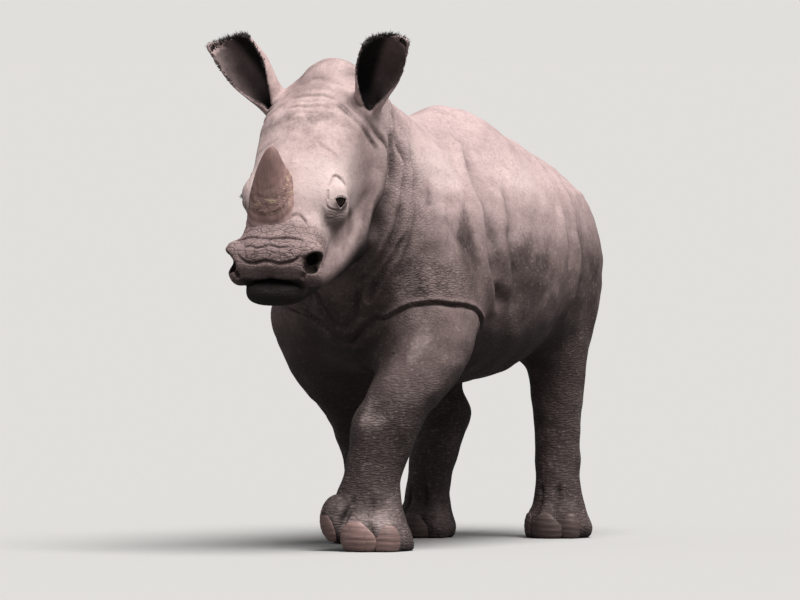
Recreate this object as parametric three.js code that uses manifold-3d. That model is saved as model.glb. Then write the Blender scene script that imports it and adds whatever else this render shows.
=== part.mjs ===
// A white rhinoceros calf in mid step, life size. Millimetres, +Z up. It faces -Y, and its left side is +X.
// Flesh is lofted: rings carried along a part, each an oval with its own middle and its own four radii.
import * as THREE from "three";
import { mergeVertices } from "three/addons/utils/BufferGeometryUtils.js";
import Module from "manifold-3d";

const wasm = await Module();
wasm.setup();
const { sin, cos, abs, sign, min, max, PI } = Math;

// ---- Sizes that run through the whole animal ----
const GAP = 0.35; // between pieces that touch
const AROUND = { trunk: 24, head: 24, jaw: 16, leg: 14, tail: 8, horn: 12 }; // points round one ring

// Where the poll is, and how many degrees the face points down.
const HEAD = { y: -500, z: 950, pitch: 55 };
// On the head, "along" is down the face from the poll, "out" sideways, and "over" towards the forehead.
const EYE = { along: 266, out: 103, over: 0, radius: 16 };
const BROW = { along: 252, out: 82, over: 4, radii: [27, 45, 33] };
const NOSTRIL = { along: 418, out: 100, over: 8, radii: [20, 18, 19] };
const NOSTRIL_WING = { along: 402, out: 86, over: 8, radii: [26, 25, 25] };
const LIP_CORNER = { along: 437, out: 86, over: -24, radii: [19, 22, 25] };
const MOUTH = { along: 466, out: 0, over: -50, radii: [78, 36, 37] }; // the hollow under the upper lip
const EAR = { height: 180, thick: 6 };
// Where each ear's root is, the way it leans, and how many degrees outwards it opens.
const EARS = {
  left: { root: [102, -520, 927], lean: [0.5, -0.46, 0.74], faces: 34 },
  right: { root: [-115, -520, 926], lean: [-0.51, -0.36, 0.79], faces: 2 },
};
const HORN = { side: -16, along: 304, out: 56, long: 68, over: 24, high: 106, back: 78, blunt: 0.06 };
const WALLS = { head: { y: -478, z: 850, slope: -8 }, neck: { y: -330, z: 800, slope: -18 } };
const KNEE = 290; // where a leg parts from its shank
const ANKLE = 112; // where the shank parts from the foot

// ---- Rows of a loft: "at" is the place along the part, and the rest are the oval there ----
// Trunk and neck, from rump to nape: "at" is along Y, and "mid" is the height of the widest line.
const TRUNK = [
  { at: 528, mid: 640, wide: 38, up: 40, down: 60, pear: 0 },
  { at: 500, mid: 635, wide: 96, up: 88, down: 130, pear: 0 },
  { at: 440, mid: 620, wide: 146, up: 152, down: 192, pear: 0.05 },
  { at: 340, mid: 610, wide: 188, up: 210, down: 210, pear: 0.09 },
  { at: 200, mid: 605, wide: 226, up: 258, down: 230, pear: 0.12 },
  { at: 25, mid: 600, wide: 244, up: 325, down: 266, pear: 0.14 },
  { at: -115, mid: 600, wide: 236, up: 304, down: 260, pear: 0.14 },
  { at: -230, mid: 620, wide: 212, up: 290, down: 262, pear: 0.14 },
  { at: -330, mid: 655, wide: 194, up: 290, down: 282, pear: 0.12 },
  { at: -410, mid: 705, wide: 168, up: 284, down: 272, pear: 0.08 },
  { at: -480, mid: 765, wide: 138, up: 262, down: 212, pear: 0.04 },
  { at: -540, mid: 810, wide: 88, up: 184, down: 125, pear: 0 },
];
// Skull and muzzle, from behind the poll to the upper lip: "at" is down the face, and "up" is towards the
// forehead's side.
const SKULL = [
  { at: -60, mid: -20, wide: 50, up: 10, down: 50, square: 2 },
  { at: -25, mid: -10, wide: 92, up: 26, down: 105, square: 2.2 },
  { at: 30, mid: 0, wide: 114, up: 47, down: 140, square: 2.5 },
  { at: 110, mid: 0, wide: 119, up: 66, down: 160, square: 2.5 },
  { at: 190, mid: 0, wide: 110, up: 64, down: 160, square: 2.4 },
  { at: 260, mid: 0, wide: 102, up: 56, down: 140, square: 2.4 },
  { at: 320, mid: -4, wide: 86, up: 48, down: 108, square: 2.5 },
  { at: 368, mid: -6, wide: 90, up: 46, down: 82, square: 2.7 },
  { at: 410, mid: -8, wide: 100, up: 45, down: 62, square: 2.8 },
  { at: 440, mid: -14, wide: 103, up: 34, down: 50, square: 2.8 },
  { at: 458, mid: -20, wide: 90, up: 18, down: 30, square: 2.7 },
];
// Lower jaw, from the angle of the cheek to the chin: "at" is along Y again.
const JAW = [
  { at: -470, mid: 700, wide: 70, up: 60, down: 50, square: 2.2 },
  { at: -505, mid: 680, wide: 96, up: 70, down: 76, square: 2.3 },
  { at: -555, mid: 650, wide: 99, up: 80, down: 80, square: 2.4 },
  { at: -610, mid: 620, wide: 90, up: 60, down: 72, square: 2.5 },
  { at: -680, mid: 585, wide: 76, up: 45, down: 60, square: 2.5 },
  { at: -735, mid: 550, wide: 68, up: 20, down: 36, square: 2.6 },
  { at: -762, mid: 545, wide: 44, up: 10, down: 22, square: 2.4 },
];
// Legs, from the sole up: "at" is the height, x and y the middle there, and "fore" and "aft" the reach
// forwards and backwards.
const LEGS = {
  fore_left: [
    { at: 0, x: 92, y: -444, wide: 62, fore: 58, aft: 98 },
    { at: 25, x: 82, y: -448, wide: 74, fore: 66, aft: 90 },
    { at: 65, x: 68, y: -446, wide: 76, fore: 60, aft: 68 },
    { at: 105, x: 58, y: -438, wide: 70, fore: 54, aft: 58 },
    { at: 145, x: 59, y: -430, wide: 63, fore: 54, aft: 56 },
    { at: 210, x: 74, y: -414, wide: 69, fore: 62, aft: 62 },
    { at: 270, x: 89, y: -400, wide: 78, fore: 72, aft: 72 },
    { at: 330, x: 116, y: -372, wide: 86, fore: 80, aft: 86 },
    { at: 400, x: 135, y: -334, wide: 92, fore: 96, aft: 106 },
    { at: 480, x: 138, y: -306, wide: 90, fore: 118, aft: 120 },
    { at: 570, x: 130, y: -290, wide: 80, fore: 110, aft: 115 },
    { at: 680, x: 112, y: -285, wide: 50, fore: 60, aft: 70 },
  ],
  fore_right: [
    { at: 0, x: -100, y: -142, wide: 68, fore: 62, aft: 56 },
    { at: 25, x: -100, y: -142, wide: 76, fore: 68, aft: 60 },
    { at: 65, x: -100, y: -136, wide: 68, fore: 58, aft: 56 },
    { at: 105, x: -100, y: -128, wide: 61, fore: 52, aft: 54 },
    { at: 145, x: -101, y: -122, wide: 58, fore: 52, aft: 54 },
    { at: 210, x: -106, y: -132, wide: 66, fore: 60, aft: 60 },
    { at: 270, x: -114, y: -160, wide: 74, fore: 68, aft: 70 },
    { at: 330, x: -126, y: -205, wide: 84, fore: 80, aft: 84 },
    { at: 400, x: -138, y: -250, wide: 94, fore: 96, aft: 106 },
    { at: 480, x: -142, y: -285, wide: 94, fore: 118, aft: 120 },
    { at: 570, x: -132, y: -290, wide: 80, fore: 110, aft: 115 },
    { at: 680, x: -112, y: -285, wide: 50, fore: 60, aft: 70 },
  ],
  hind_left: [
    { at: 0, x: 130, y: 298, wide: 66, fore: 60, aft: 58 },
    { at: 25, x: 130, y: 298, wide: 71, fore: 64, aft: 60 },
    { at: 65, x: 126, y: 296, wide: 57, fore: 54, aft: 54 },
    { at: 120, x: 122, y: 298, wide: 46, fore: 46, aft: 50 },
    { at: 190, x: 118, y: 306, wide: 49, fore: 50, aft: 56 },
    { at: 260, x: 118, y: 306, wide: 52, fore: 56, aft: 60 },
    { at: 330, x: 120, y: 302, wide: 55, fore: 60, aft: 66 },
    { at: 400, x: 121, y: 298, wide: 64, fore: 88, aft: 92 },
    { at: 500, x: 115, y: 300, wide: 76, fore: 140, aft: 140 },
    { at: 610, x: 108, y: 312, wide: 76, fore: 146, aft: 142 },
    { at: 720, x: 92, y: 322, wide: 50, fore: 80, aft: 80 },
  ],
  hind_right: [
    { at: 0, x: -132, y: 186, wide: 58, fore: 58, aft: 54 },
    { at: 25, x: -132, y: 184, wide: 63, fore: 62, aft: 56 },
    { at: 65, x: -131, y: 184, wide: 54, fore: 52, aft: 52 },
    { at: 120, x: -129, y: 188, wide: 46, fore: 46, aft: 50 },
    { at: 190, x: -125, y: 210, wide: 50, fore: 50, aft: 58 },
    { at: 260, x: -121, y: 242, wide: 54, fore: 58, aft: 64 },
    { at: 330, x: -127, y: 230, wide: 51, fore: 64, aft: 42 },
    { at: 400, x: -124, y: 240, wide: 62, fore: 94, aft: 72 },
    { at: 500, x: -116, y: 280, wide: 76, fore: 142, aft: 138 },
    { at: 610, x: -108, y: 308, wide: 76, fore: 146, aft: 142 },
    { at: 720, x: -92, y: 320, wide: 50, fore: 80, aft: 80 },
  ],
};
// A foot's toes from the inner one to the outer one: the way each points, in degrees outwards, its reach, and
// how far it is lifted.
const TOES = {
  fore_left: [
    { turn: -54, reach: 77, wide: 33, lift: 40 },
    { turn: -4, reach: 52, wide: 48, lift: 10 },
    { turn: 48, reach: 48, wide: 34, lift: 2 },
  ],
  fore_right: [
    { turn: -48, reach: 40, wide: 31, lift: 0 },
    { turn: 0, reach: 44, wide: 44, lift: 0 },
    { turn: 48, reach: 40, wide: 31, lift: 0 },
  ],
  hind_left: [
    { turn: -48, reach: 38, wide: 28, lift: 0 },
    { turn: 0, reach: 42, wide: 40, lift: 0 },
    { turn: 48, reach: 38, wide: 28, lift: 0 },
  ],
  hind_right: [
    { turn: -48, reach: 36, wide: 27, lift: 0 },
    { turn: 0, reach: 40, wide: 38, lift: 0 },
    { turn: 48, reach: 36, wide: 27, lift: 0 },
  ],
};
const TOE = { deep: 38, high: 50 };
const NAIL = { proud: 2.5, from: 0.45, slope: 12, high: 54 };
// Tail, from its root down.
const TAIL = [
  { at: 730, x: 0, y: 462, wide: 34, fore: 30, aft: 30 },
  { at: 690, x: 0, y: 500, wide: 28, fore: 24, aft: 24 },
  { at: 640, x: 3, y: 528, wide: 20, fore: 18, aft: 18 },
  { at: 560, x: 8, y: 542, wide: 14, fore: 12, aft: 12 },
  { at: 480, x: 14, y: 548, wide: 11, fore: 9, aft: 9 },
  { at: 420, x: 18, y: 551, wide: 15, fore: 8, aft: 8 },
  { at: 385, x: 20, y: 552, wide: 8, fore: 5, aft: 5 },
];
// Ear, from its root to its blunt top: "wide" is its radius, "roll" how far its sheet curls to each side of
// its back, "bow" how far it bends forwards, and "peak" how much higher its outer rim stands than its middle.
const EAR_ROWS = [
  { at: -0.2, wide: 24, roll: 165, bow: 0, peak: 0 },
  { at: 0.05, wide: 30, roll: 160, bow: 0, peak: 0 },
  { at: 0.25, wide: 38, roll: 132, bow: 0, peak: 0 },
  { at: 0.5, wide: 48, roll: 104, bow: 0, peak: 2 },
  { at: 0.75, wide: 50, roll: 86, bow: 4, peak: 7 },
  { at: 0.9, wide: 48, roll: 70, bow: 9, peak: 16 },
  { at: 0.97, wide: 45, roll: 58, bow: 12, peak: 26 },
];

// ---- Small tools ----
const radians = (degrees) => (degrees * PI) / 180;
const power = (value, exponent) => sign(value) * abs(value) ** exponent;

// The row of sizes at a place along a part: a smooth cubic through the rows' own values.
function between(rows, at) {
  const last = rows.length - 1;
  const ascending = rows[last].at > rows[0].at ? 1 : -1;
  let i = 0;
  while (i < last - 1 && (at - rows[i + 1].at) * ascending > 0) i++;
  const span = rows[i + 1].at - rows[i].at;
  const t = (at - rows[i].at) / span;
  const row = { at };
  for (const key of Object.keys(rows[0])) {
    if (key === "at") continue;
    const slope = (k) => {
      const before = rows[max(k - 1, 0)];
      const after = rows[min(k + 1, last)];
      return ((after[key] - before[key]) / (after.at - before.at)) * span;
    };
    row[key] =
      rows[i][key] * (2 * t ** 3 - 3 * t ** 2 + 1) +
      slope(i) * (t ** 3 - 2 * t ** 2 + t) +
      rows[i + 1][key] * (3 * t ** 2 - 2 * t ** 3) +
      slope(i + 1) * (t ** 3 - t ** 2);
  }
  return row;
}

// A part's rows with "parts" - 1 more between each two, and its two ends moved outwards by "grow".
function allRows(rows, parts, grow) {
  const found = rows.slice(1).flatMap((row, i) => {
    const step = (row.at - rows[i].at) / parts;
    return Array.from({ length: parts }, (_, k) => between(rows, rows[i].at + step * k));
  });
  const outwards = sign(rows[0].at - rows[1].at) * grow;
  found[0].at += outwards;
  return [...found, { ...rows[rows.length - 1], at: rows[rows.length - 1].at - outwards }];
}

// One closed body through rings of equal size. A fan closes a round end, and a strip a curled sheet's end.
function loft(rings, cap = "fan") {
  const count = rings[0].length;
  const points = rings.flat().map((p) => [p.x, p.y, p.z]);
  const faces = [];
  for (let i = 0; i + 1 < rings.length; i++)
    for (let k = 0; k < count; k++) {
      const [a, b] = [i * count + k, i * count + ((k + 1) % count)];
      faces.push([a, b, b + count], [a, b + count, a + count]);
    }
  for (const start of [true, false]) {
    const first = start ? 0 : (rings.length - 1) * count;
    const face = (a, b, c) => faces.push(start ? [a, c, b] : [a, b, c]);
    if (cap === "fan") {
      const centre = rings[start ? 0 : rings.length - 1].reduce((sum, p) => sum.add(p), new THREE.Vector3());
      const middle = points.push(centre.divideScalar(count).toArray()) - 1;
      for (let k = 0; k < count; k++) face(middle, first + k, first + ((k + 1) % count));
    } else
      for (let k = 0; k + 1 < count / 2; k++) {
        const [a, b, c, d] = [k, k + 1, count - 2 - k, count - 1 - k].map((v) => first + v);
        face(a, b, c);
        face(a, c, d);
      }
  }
  const geometry = new THREE.BufferGeometry();
  geometry.setAttribute("position", new THREE.Float32BufferAttribute(points.flat(), 3));
  geometry.setIndex(faces.flat());
  return geometry;
}

// A closed three.js geometry as a solid, turned to face out if it faces in.
function solid(geometry, matrix = new THREE.Matrix4()) {
  const bare = geometry.clone().applyMatrix4(matrix);
  bare.deleteAttribute("normal");
  bare.deleteAttribute("uv");
  const merged = mergeVertices(bare, 1e-3);
  const vertProperties = merged.attributes.position.array;
  const triVerts = new Uint32Array(merged.index.array);
  const made = new wasm.Manifold(new wasm.Mesh({ numProp: 3, vertProperties, triVerts }));
  if (made.volume() > 0) return made;
  for (let i = 0; i < triVerts.length; i += 3) triVerts.subarray(i, i + 3).reverse();
  return new wasm.Manifold(new wasm.Mesh({ numProp: 3, vertProperties, triVerts }));
}

const join = (...solids) => solids.reduce((whole, piece) => whole.add(piece));
const cut = (whole, ...tools) => tools.reduce((left, tool) => left.subtract(tool), whole);

// An oval body with three radii, round a place, turned by some degrees about the upright, in its own frame.
function oval(place, radii, { turn = 0, frame = new THREE.Matrix4(), detail = 10 } = {}) {
  const local = new THREE.Matrix4()
    .makeTranslation(...place)
    .multiply(new THREE.Matrix4().makeRotationZ(radians(turn)))
    .multiply(new THREE.Matrix4().makeScale(...radii));
  return solid(new THREE.SphereGeometry(1, detail, max(6, detail / 2)), frame.clone().multiply(local));
}

function block(low, high, frame = new THREE.Matrix4()) {
  const size = high.map((v, i) => v - low[i]);
  const middle = high.map((v, i) => (v + low[i]) / 2);
  const local = new THREE.Matrix4().makeTranslation(...middle);
  return solid(new THREE.BoxGeometry(...size), frame.clone().multiply(local));
}

const aboveFloor = block([-2000, -2000, 0], [2000, 2000, 2000]);

// ---- Flesh ----
// A ring that stands across the animal: x is sideways and z up. A pear-shaped one is wider below its middle.
function standingRing({ at, mid, wide, up, down, pear = 0, square = 2 }, grow, count) {
  return Array.from({ length: count }, (_, k) => {
    const angle = (2 * PI * k) / count;
    const side = power(cos(angle), 2 / square);
    const rise = power(sin(angle), 2 / square);
    const x = (wide + grow) * (1 - pear * rise) * side;
    return new THREE.Vector3(x, at, mid + ((rise > 0 ? up : down) + grow) * rise);
  });
}

// A ring that lies flat at its own height, round a leg or the tail.
function lyingRing({ at, x, y, wide, fore, aft }, grow, count) {
  return Array.from({ length: count }, (_, k) => {
    const angle = (2 * PI * k) / count;
    const reach = (sin(angle) > 0 ? aft : fore) + grow;
    return new THREE.Vector3(x + (wide + grow) * cos(angle), y + reach * sin(angle), at);
  });
}

const standing = (rows, count, grow = 0) =>
  solid(loft(allRows(rows, 1, grow).map((row) => standingRing(row, grow, count))));

const lying = (rows, count) => solid(loft(allRows(rows, 1, 0).map((row) => lyingRing(row, 0, count))));

// The head's own frame: from the poll, -Y runs down the face and +Z points out of the forehead.
const headFrame = new THREE.Matrix4()
  .makeTranslation(0, HEAD.y, HEAD.z)
  .multiply(new THREE.Matrix4().makeRotationX(radians(HEAD.pitch)));

function skull(grow) {
  const rings = allRows(SKULL, 1, grow).map((row) => standingRing(row, grow, AROUND.head));
  return solid(loft(rings.map((ring) => ring.map((p) => p.setY(-p.y).applyMatrix4(headFrame)))));
}

function onFace({ along, out, over, radii }, side, grow = 0, detail = 8) {
  const grown = radii.map((radius) => radius + grow);
  return oval([side * out, -along, over], grown, { frame: headFrame, detail });
}

const eye = (side, grow) => onFace({ ...EYE, radii: [EYE.radius, EYE.radius, EYE.radius] }, side, grow, 12);

function head(grow) {
  const bulges = [BROW, NOSTRIL_WING, LIP_CORNER];
  const both = bulges.flatMap((bulge) => [onFace(bulge, -1, grow), onFace(bulge, 1, grow)]);
  return join(cut(skull(grow), onFace(MOUTH, 0, -grow)), ...both);
}

// A blunt cone that sweeps back over the face. Its rings shrink towards the tip and slide up the face. Near the
// base they are squarer, and wider in front.
function horn() {
  const rings = [0, 0.2, 0.4, 0.6, 0.8, 0.93, 1].map((t) => {
    const square = 2 + 1.6 * (1 - t) ** 2;
    return Array.from({ length: AROUND.horn }, (_, k) => {
      const angle = (2 * PI * k) / AROUND.horn;
      const corner = (abs(cos(angle)) ** square + abs(sin(angle)) ** square) ** (-1 / square);
      const reach = (HORN.blunt + (1 - HORN.blunt) * (1 - t) ** 0.66) * corner;
      const along = -HORN.along + HORN.back * t ** 1.15 + HORN.long * reach * sin(angle);
      const wider = 1 - 0.22 * sin(angle) * (1 - t);
      const out = HORN.side * (1 - 0.4 * t) + HORN.out * reach * cos(angle) * wider;
      return new THREE.Vector3(out, along, HORN.over + HORN.high * t).applyMatrix4(headFrame);
    });
  });
  return solid(loft(rings));
}

// A sheet curled about its own length, open to the front: each ring runs round its back and returns inside.
function ear(side, { root, lean, faces }) {
  const up = new THREE.Vector3(...lean).normalize();
  const front = new THREE.Vector3(side * sin(radians(faces)), -cos(radians(faces)), 0);
  front.addScaledVector(up, -front.dot(up)).normalize();
  const across = new THREE.Vector3().crossVectors(up, front);
  const steps = 8;
  const rings = EAR_ROWS.map(({ at, wide, roll, bow, peak }) => {
    const place = (turn, depth) => {
      const radius = wide - depth;
      return new THREE.Vector3(...root)
        .addScaledVector(up, at * EAR.height + side * peak * sin(turn))
        .addScaledVector(across, radius * sin(turn))
        .addScaledVector(front, bow - radius * cos(turn));
    };
    const turns = Array.from({ length: steps + 1 }, (_, k) => radians(roll) * ((2 * k) / steps - 1));
    return [...turns.map((turn) => place(turn, 0)), ...turns.reverse().map((turn) => place(turn, EAR.thick))];
  });
  return solid(loft(rings, "strip"));
}

// ---- Feet ----
// Where each toe of a foot stands and points.
function toesOf(name) {
  const outwards = name.endsWith("left") ? 1 : -1;
  const { x, y } = LEGS[name][1];
  return TOES[name].map(({ turn, reach, wide, lift }) => {
    const heading = radians(turn * outwards);
    const place = [x + reach * sin(heading), y - reach * cos(heading), TOE.high * 0.5 + lift];
    return { turn: turn * outwards, place, radii: [wide, TOE.deep, TOE.high] };
  });
}

// A nail is the front slice of its toe, grown a little proud of it.
function nail({ turn, place, radii }, grow) {
  const grown = radii.map((radius) => radius + NAIL.proud + grow);
  const frame = new THREE.Matrix4()
    .makeTranslation(...place)
    .multiply(new THREE.Matrix4().makeRotationZ(radians(turn)))
    .multiply(new THREE.Matrix4().makeRotationX(radians(NAIL.slope)));
  const back = grow - TOE.deep * NAIL.from;
  const top = grow + NAIL.high - TOE.high * 0.5;
  const front = block([-200, -200, -200], [200, back, top], frame);
  return oval(place, grown, { turn, detail: 14 }).intersect(front).intersect(aboveFloor);
}

function leg(name) {
  const toes = toesOf(name).map(({ turn, place, radii }) => oval(place, radii, { turn, detail: 14 }));
  const nails = toesOf(name).map((toe) => nail(toe, GAP));
  return cut(join(lying(LEGS[name], AROUND.leg), ...toes).intersect(aboveFloor), ...nails);
}

// ---- Assembly ----
const model = new THREE.Group();
const finish = (color, roughness) => new THREE.MeshStandardMaterial({ color, roughness, metalness: 0 });
const HIDE = finish(0x8d7b76, 0.9);
const LEG_HIDE = finish(0x5e5250, 0.9);
const HORN_FINISH = finish(0x6a564c, 0.85);
const NAIL_FINISH = finish(0x806a64, 0.6);
const EYE_FINISH = finish(0x120d0a, 0.1);

function add(name, piece, material) {
  const [largest] = piece.decompose().sort((a, b) => b.volume() - a.volume());
  const { vertProperties, triVerts, numProp } = largest.getMesh();
  const count = vertProperties.length / numProp;
  const points = new Float32Array(count * 3);
  for (let i = 0; i < count; i++) points.set(vertProperties.subarray(i * numProp, i * numProp + 3), i * 3);
  const geometry = new THREE.BufferGeometry();
  geometry.setAttribute("position", new THREE.BufferAttribute(points, 3));
  geometry.setIndex(new THREE.BufferAttribute(triVerts, 1));
  const mesh = new THREE.Mesh(geometry, material);
  mesh.name = name;
  model.add(mesh);
}

// Everything in front of a sloping wall across the body.
function inFrontOf({ y, z, slope }, grow) {
  const frame = new THREE.Matrix4()
    .makeTranslation(0, y, z)
    .multiply(new THREE.Matrix4().makeRotationX(radians(slope)));
  return block([-600, -900, -900], [600, grow, 900], frame);
}

const trunk = standing(TRUNK, AROUND.trunk);
const trunkRoom = standing(TRUNK, AROUND.trunk, GAP);
const headRoom = head(GAP);
const hollows = [-1, 1].flatMap((side) => [eye(side, GAP), onFace(NOSTRIL, side)]);
const core = cut(join(trunk, head(0)), ...hollows);
add("head", core.intersect(inFrontOf(WALLS.head, 0)), HIDE);
const behindHead = cut(core, inFrontOf(WALLS.head, GAP));
add("neck", behindHead.intersect(inFrontOf(WALLS.neck, 0)), HIDE);
add("trunk", cut(behindHead, inFrontOf(WALLS.neck, GAP)), HIDE);
add("lower_jaw", cut(standing(JAW, AROUND.jaw), headRoom, trunkRoom), HIDE);
add("tail", cut(lying(TAIL, AROUND.tail), trunkRoom), HIDE);
add("horn", cut(horn(), headRoom), HORN_FINISH);
for (const [name, side] of [["left", 1], ["right", -1]]) {
  add("eye_" + name, eye(side, 0), EYE_FINISH);
  add("ear_" + name, cut(ear(side, EARS[name]), headRoom, trunkRoom), HIDE);
}
for (const name of Object.keys(LEGS)) {
  const whole = cut(leg(name), trunkRoom);
  const slice = (low, high) => whole.intersect(block([-2000, -2000, low], [2000, 2000, high]));
  add("leg_" + name, slice(KNEE, 1000), LEG_HIDE);
  add("shank_" + name, slice(ANKLE, KNEE - GAP), LEG_HIDE);
  add("foot_" + name, slice(0, ANKLE - GAP), LEG_HIDE);
  const [inner, middle, outer] = toesOf(name);
  const middleRoom = nail(middle, GAP);
  add(`nail_${name}_inner`, cut(nail(inner, 0), middleRoom), NAIL_FINISH);
  add(`nail_${name}_middle`, nail(middle, 0), NAIL_FINISH);
  add(`nail_${name}_outer`, cut(nail(outer, 0), middleRoom), NAIL_FINISH);
}

// The origin is where the middle of the whole animal's box meets the floor.
const box = new THREE.Box3().setFromObject(model);
const middle = box.getCenter(new THREE.Vector3());
model.position.set(-middle.x, -middle.y, -box.min.z);

export default model;
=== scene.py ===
"""A white rhinoceros calf in mid step, as a still life-size model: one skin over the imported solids, with its
eyes, horn, nails, hair and a plain studio. Metres, +Z up. The animal faces -Y, and its left side is +X."""

import math

import bmesh
import bpy
import numpy as np
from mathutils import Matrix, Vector


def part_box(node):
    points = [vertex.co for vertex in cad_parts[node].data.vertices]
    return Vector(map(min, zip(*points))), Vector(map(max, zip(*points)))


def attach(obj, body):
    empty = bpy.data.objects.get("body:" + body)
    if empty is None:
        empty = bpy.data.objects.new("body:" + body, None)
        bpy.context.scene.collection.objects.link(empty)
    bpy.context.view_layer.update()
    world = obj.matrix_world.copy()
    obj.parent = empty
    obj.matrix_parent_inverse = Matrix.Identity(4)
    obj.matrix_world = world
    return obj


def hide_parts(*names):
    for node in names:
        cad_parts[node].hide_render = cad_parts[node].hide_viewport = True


bl_info = {
    "name": "White Rhinoceros Calf",
    "version": (1, 0, 0),
    "blender": (4, 5, 0),
    "location": "View3D > Sidebar > Rhinoceros",
    "description": "Builds the skin, eyes, horn, nails, hair and studio of a still white rhinoceros calf",
    "category": "Object",
}

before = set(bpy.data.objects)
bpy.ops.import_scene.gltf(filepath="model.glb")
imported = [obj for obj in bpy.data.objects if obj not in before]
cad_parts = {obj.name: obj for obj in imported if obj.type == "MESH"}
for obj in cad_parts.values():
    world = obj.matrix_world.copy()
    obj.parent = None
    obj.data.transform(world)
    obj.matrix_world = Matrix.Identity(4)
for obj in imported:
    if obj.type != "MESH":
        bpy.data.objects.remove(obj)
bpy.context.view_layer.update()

# ---- Sizes that run through the whole animal ----
HEAD_AT = np.array([0.0, -0.5, 0.95])  # the poll
HEAD_PITCH = math.radians(55)  # how far the face points down
# On the head, a place is how far out to the side, how far down the face, and how far over its middle line.
EYE = {"place": (0.103, 0.266, 0.000), "radius": 0.016}
BROW = {"place": (0.083, 0.256, 0.000), "radii": (0.029, 0.048, 0.038)}
LID = {"up": 0.012, "out": -0.004, "radii": (0.0195, 0.0250, 0.0212)}  # the upper lid's dome, from the eye
POUCH = {"down": 0.024, "out": -0.0235, "radii": (0.024, 0.026, 0.022)}  # and the swelling under the eye
WING = {"place": (0.086, 0.402, 0.008), "radii": (0.026, 0.025, 0.025)}
NOSTRIL = {"place": (0.100, 0.419, 0.007), "radii": (0.018, 0.016, 0.017)}
SLIT = {"place": (0.092, 0.434, 0.000), "radii": (0.012, 0.012, 0.018)}  # the nostril's lower end
MOUTH = {"place": (0.0, 0.466, -0.050), "radii": (0.078, 0.036, 0.037)}  # the hollow under the upper lip
LIP = {"place": (0.086, 0.437, -0.024), "radii": (0.019, 0.022, 0.025)}  # behind the nostril's slit
HORN = {"side": -0.016, "along": 0.304, "out": 0.056, "long": 0.068, "over": 0.024, "high": 0.106, "back": 0.078,
        "blunt": 0.06}
EAR = {"height": 0.180, "thick": 0.006}
EARS = {
    "left": {"side": 1, "root": (0.102, -0.520, 0.927), "lean": (0.5, -0.46, 0.74), "faces": 34},
    "right": {"side": -1, "root": (-0.115, -0.520, 0.926), "lean": (-0.51, -0.36, 0.79), "faces": 2},
}
TOE_DEEP = 0.038
TOE_HIGH = 0.050
NAIL_PROUD = 0.0025
NAIL_HIGH = 0.054
FEET = ("fore_left", "fore_right", "hind_left", "hind_right")
TOE_NAMES = ("inner", "middle", "outer")

# ---- Rows of a form: "at" is the place along it, and the rest are the oval there ----
# Trunk and neck, from rump to nape: at (along Y), mid (height), wide, up, down, pear.
TRUNK = np.array([
    (0.528, 0.640, 0.038, 0.040, 0.060, 0.00),
    (0.500, 0.635, 0.096, 0.088, 0.130, 0.00),
    (0.440, 0.620, 0.146, 0.152, 0.192, 0.05),
    (0.340, 0.610, 0.188, 0.210, 0.210, 0.09),
    (0.200, 0.605, 0.226, 0.256, 0.230, 0.12),
    (0.105, 0.602, 0.238, 0.285, 0.250, 0.13),
    (0.025, 0.600, 0.244, 0.322, 0.266, 0.14),
    (-0.115, 0.600, 0.236, 0.304, 0.260, 0.14),
    (-0.230, 0.620, 0.212, 0.290, 0.262, 0.14),
    (-0.330, 0.655, 0.194, 0.290, 0.282, 0.12),
    (-0.410, 0.705, 0.168, 0.284, 0.272, 0.08),
    (-0.480, 0.765, 0.138, 0.262, 0.212, 0.04),
    (-0.540, 0.810, 0.088, 0.184, 0.125, 0.00),
])
# Skull and muzzle, down the face: at, mid, wide, up (towards the forehead), down, square.
SKULL = np.array([
    (-0.060, -0.020, 0.050, 0.010, 0.050, 2.0),
    (-0.025, -0.010, 0.092, 0.026, 0.105, 2.2),
    (0.030, 0.000, 0.114, 0.047, 0.140, 2.5),
    (0.110, 0.000, 0.119, 0.066, 0.160, 2.5),
    (0.190, 0.000, 0.110, 0.064, 0.160, 2.4),
    (0.260, 0.000, 0.102, 0.056, 0.140, 2.4),
    (0.320, -0.004, 0.086, 0.048, 0.108, 2.5),
    (0.368, -0.006, 0.090, 0.046, 0.082, 2.7),
    (0.410, -0.008, 0.100, 0.045, 0.062, 2.8),
    (0.440, -0.014, 0.103, 0.034, 0.050, 2.8),
    (0.458, -0.020, 0.090, 0.018, 0.030, 2.7),
])
# Lower jaw, from the angle of the cheek to the chin: at (along Y), mid, wide, up, down, square.
JAW = np.array([
    (-0.470, 0.700, 0.070, 0.060, 0.050, 2.2),
    (-0.505, 0.680, 0.096, 0.070, 0.076, 2.3),
    (-0.555, 0.650, 0.099, 0.080, 0.080, 2.4),
    (-0.610, 0.620, 0.090, 0.060, 0.072, 2.5),
    (-0.680, 0.585, 0.076, 0.045, 0.060, 2.5),
    (-0.735, 0.550, 0.068, 0.020, 0.036, 2.6),
    (-0.762, 0.545, 0.044, 0.010, 0.022, 2.4),
])
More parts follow.
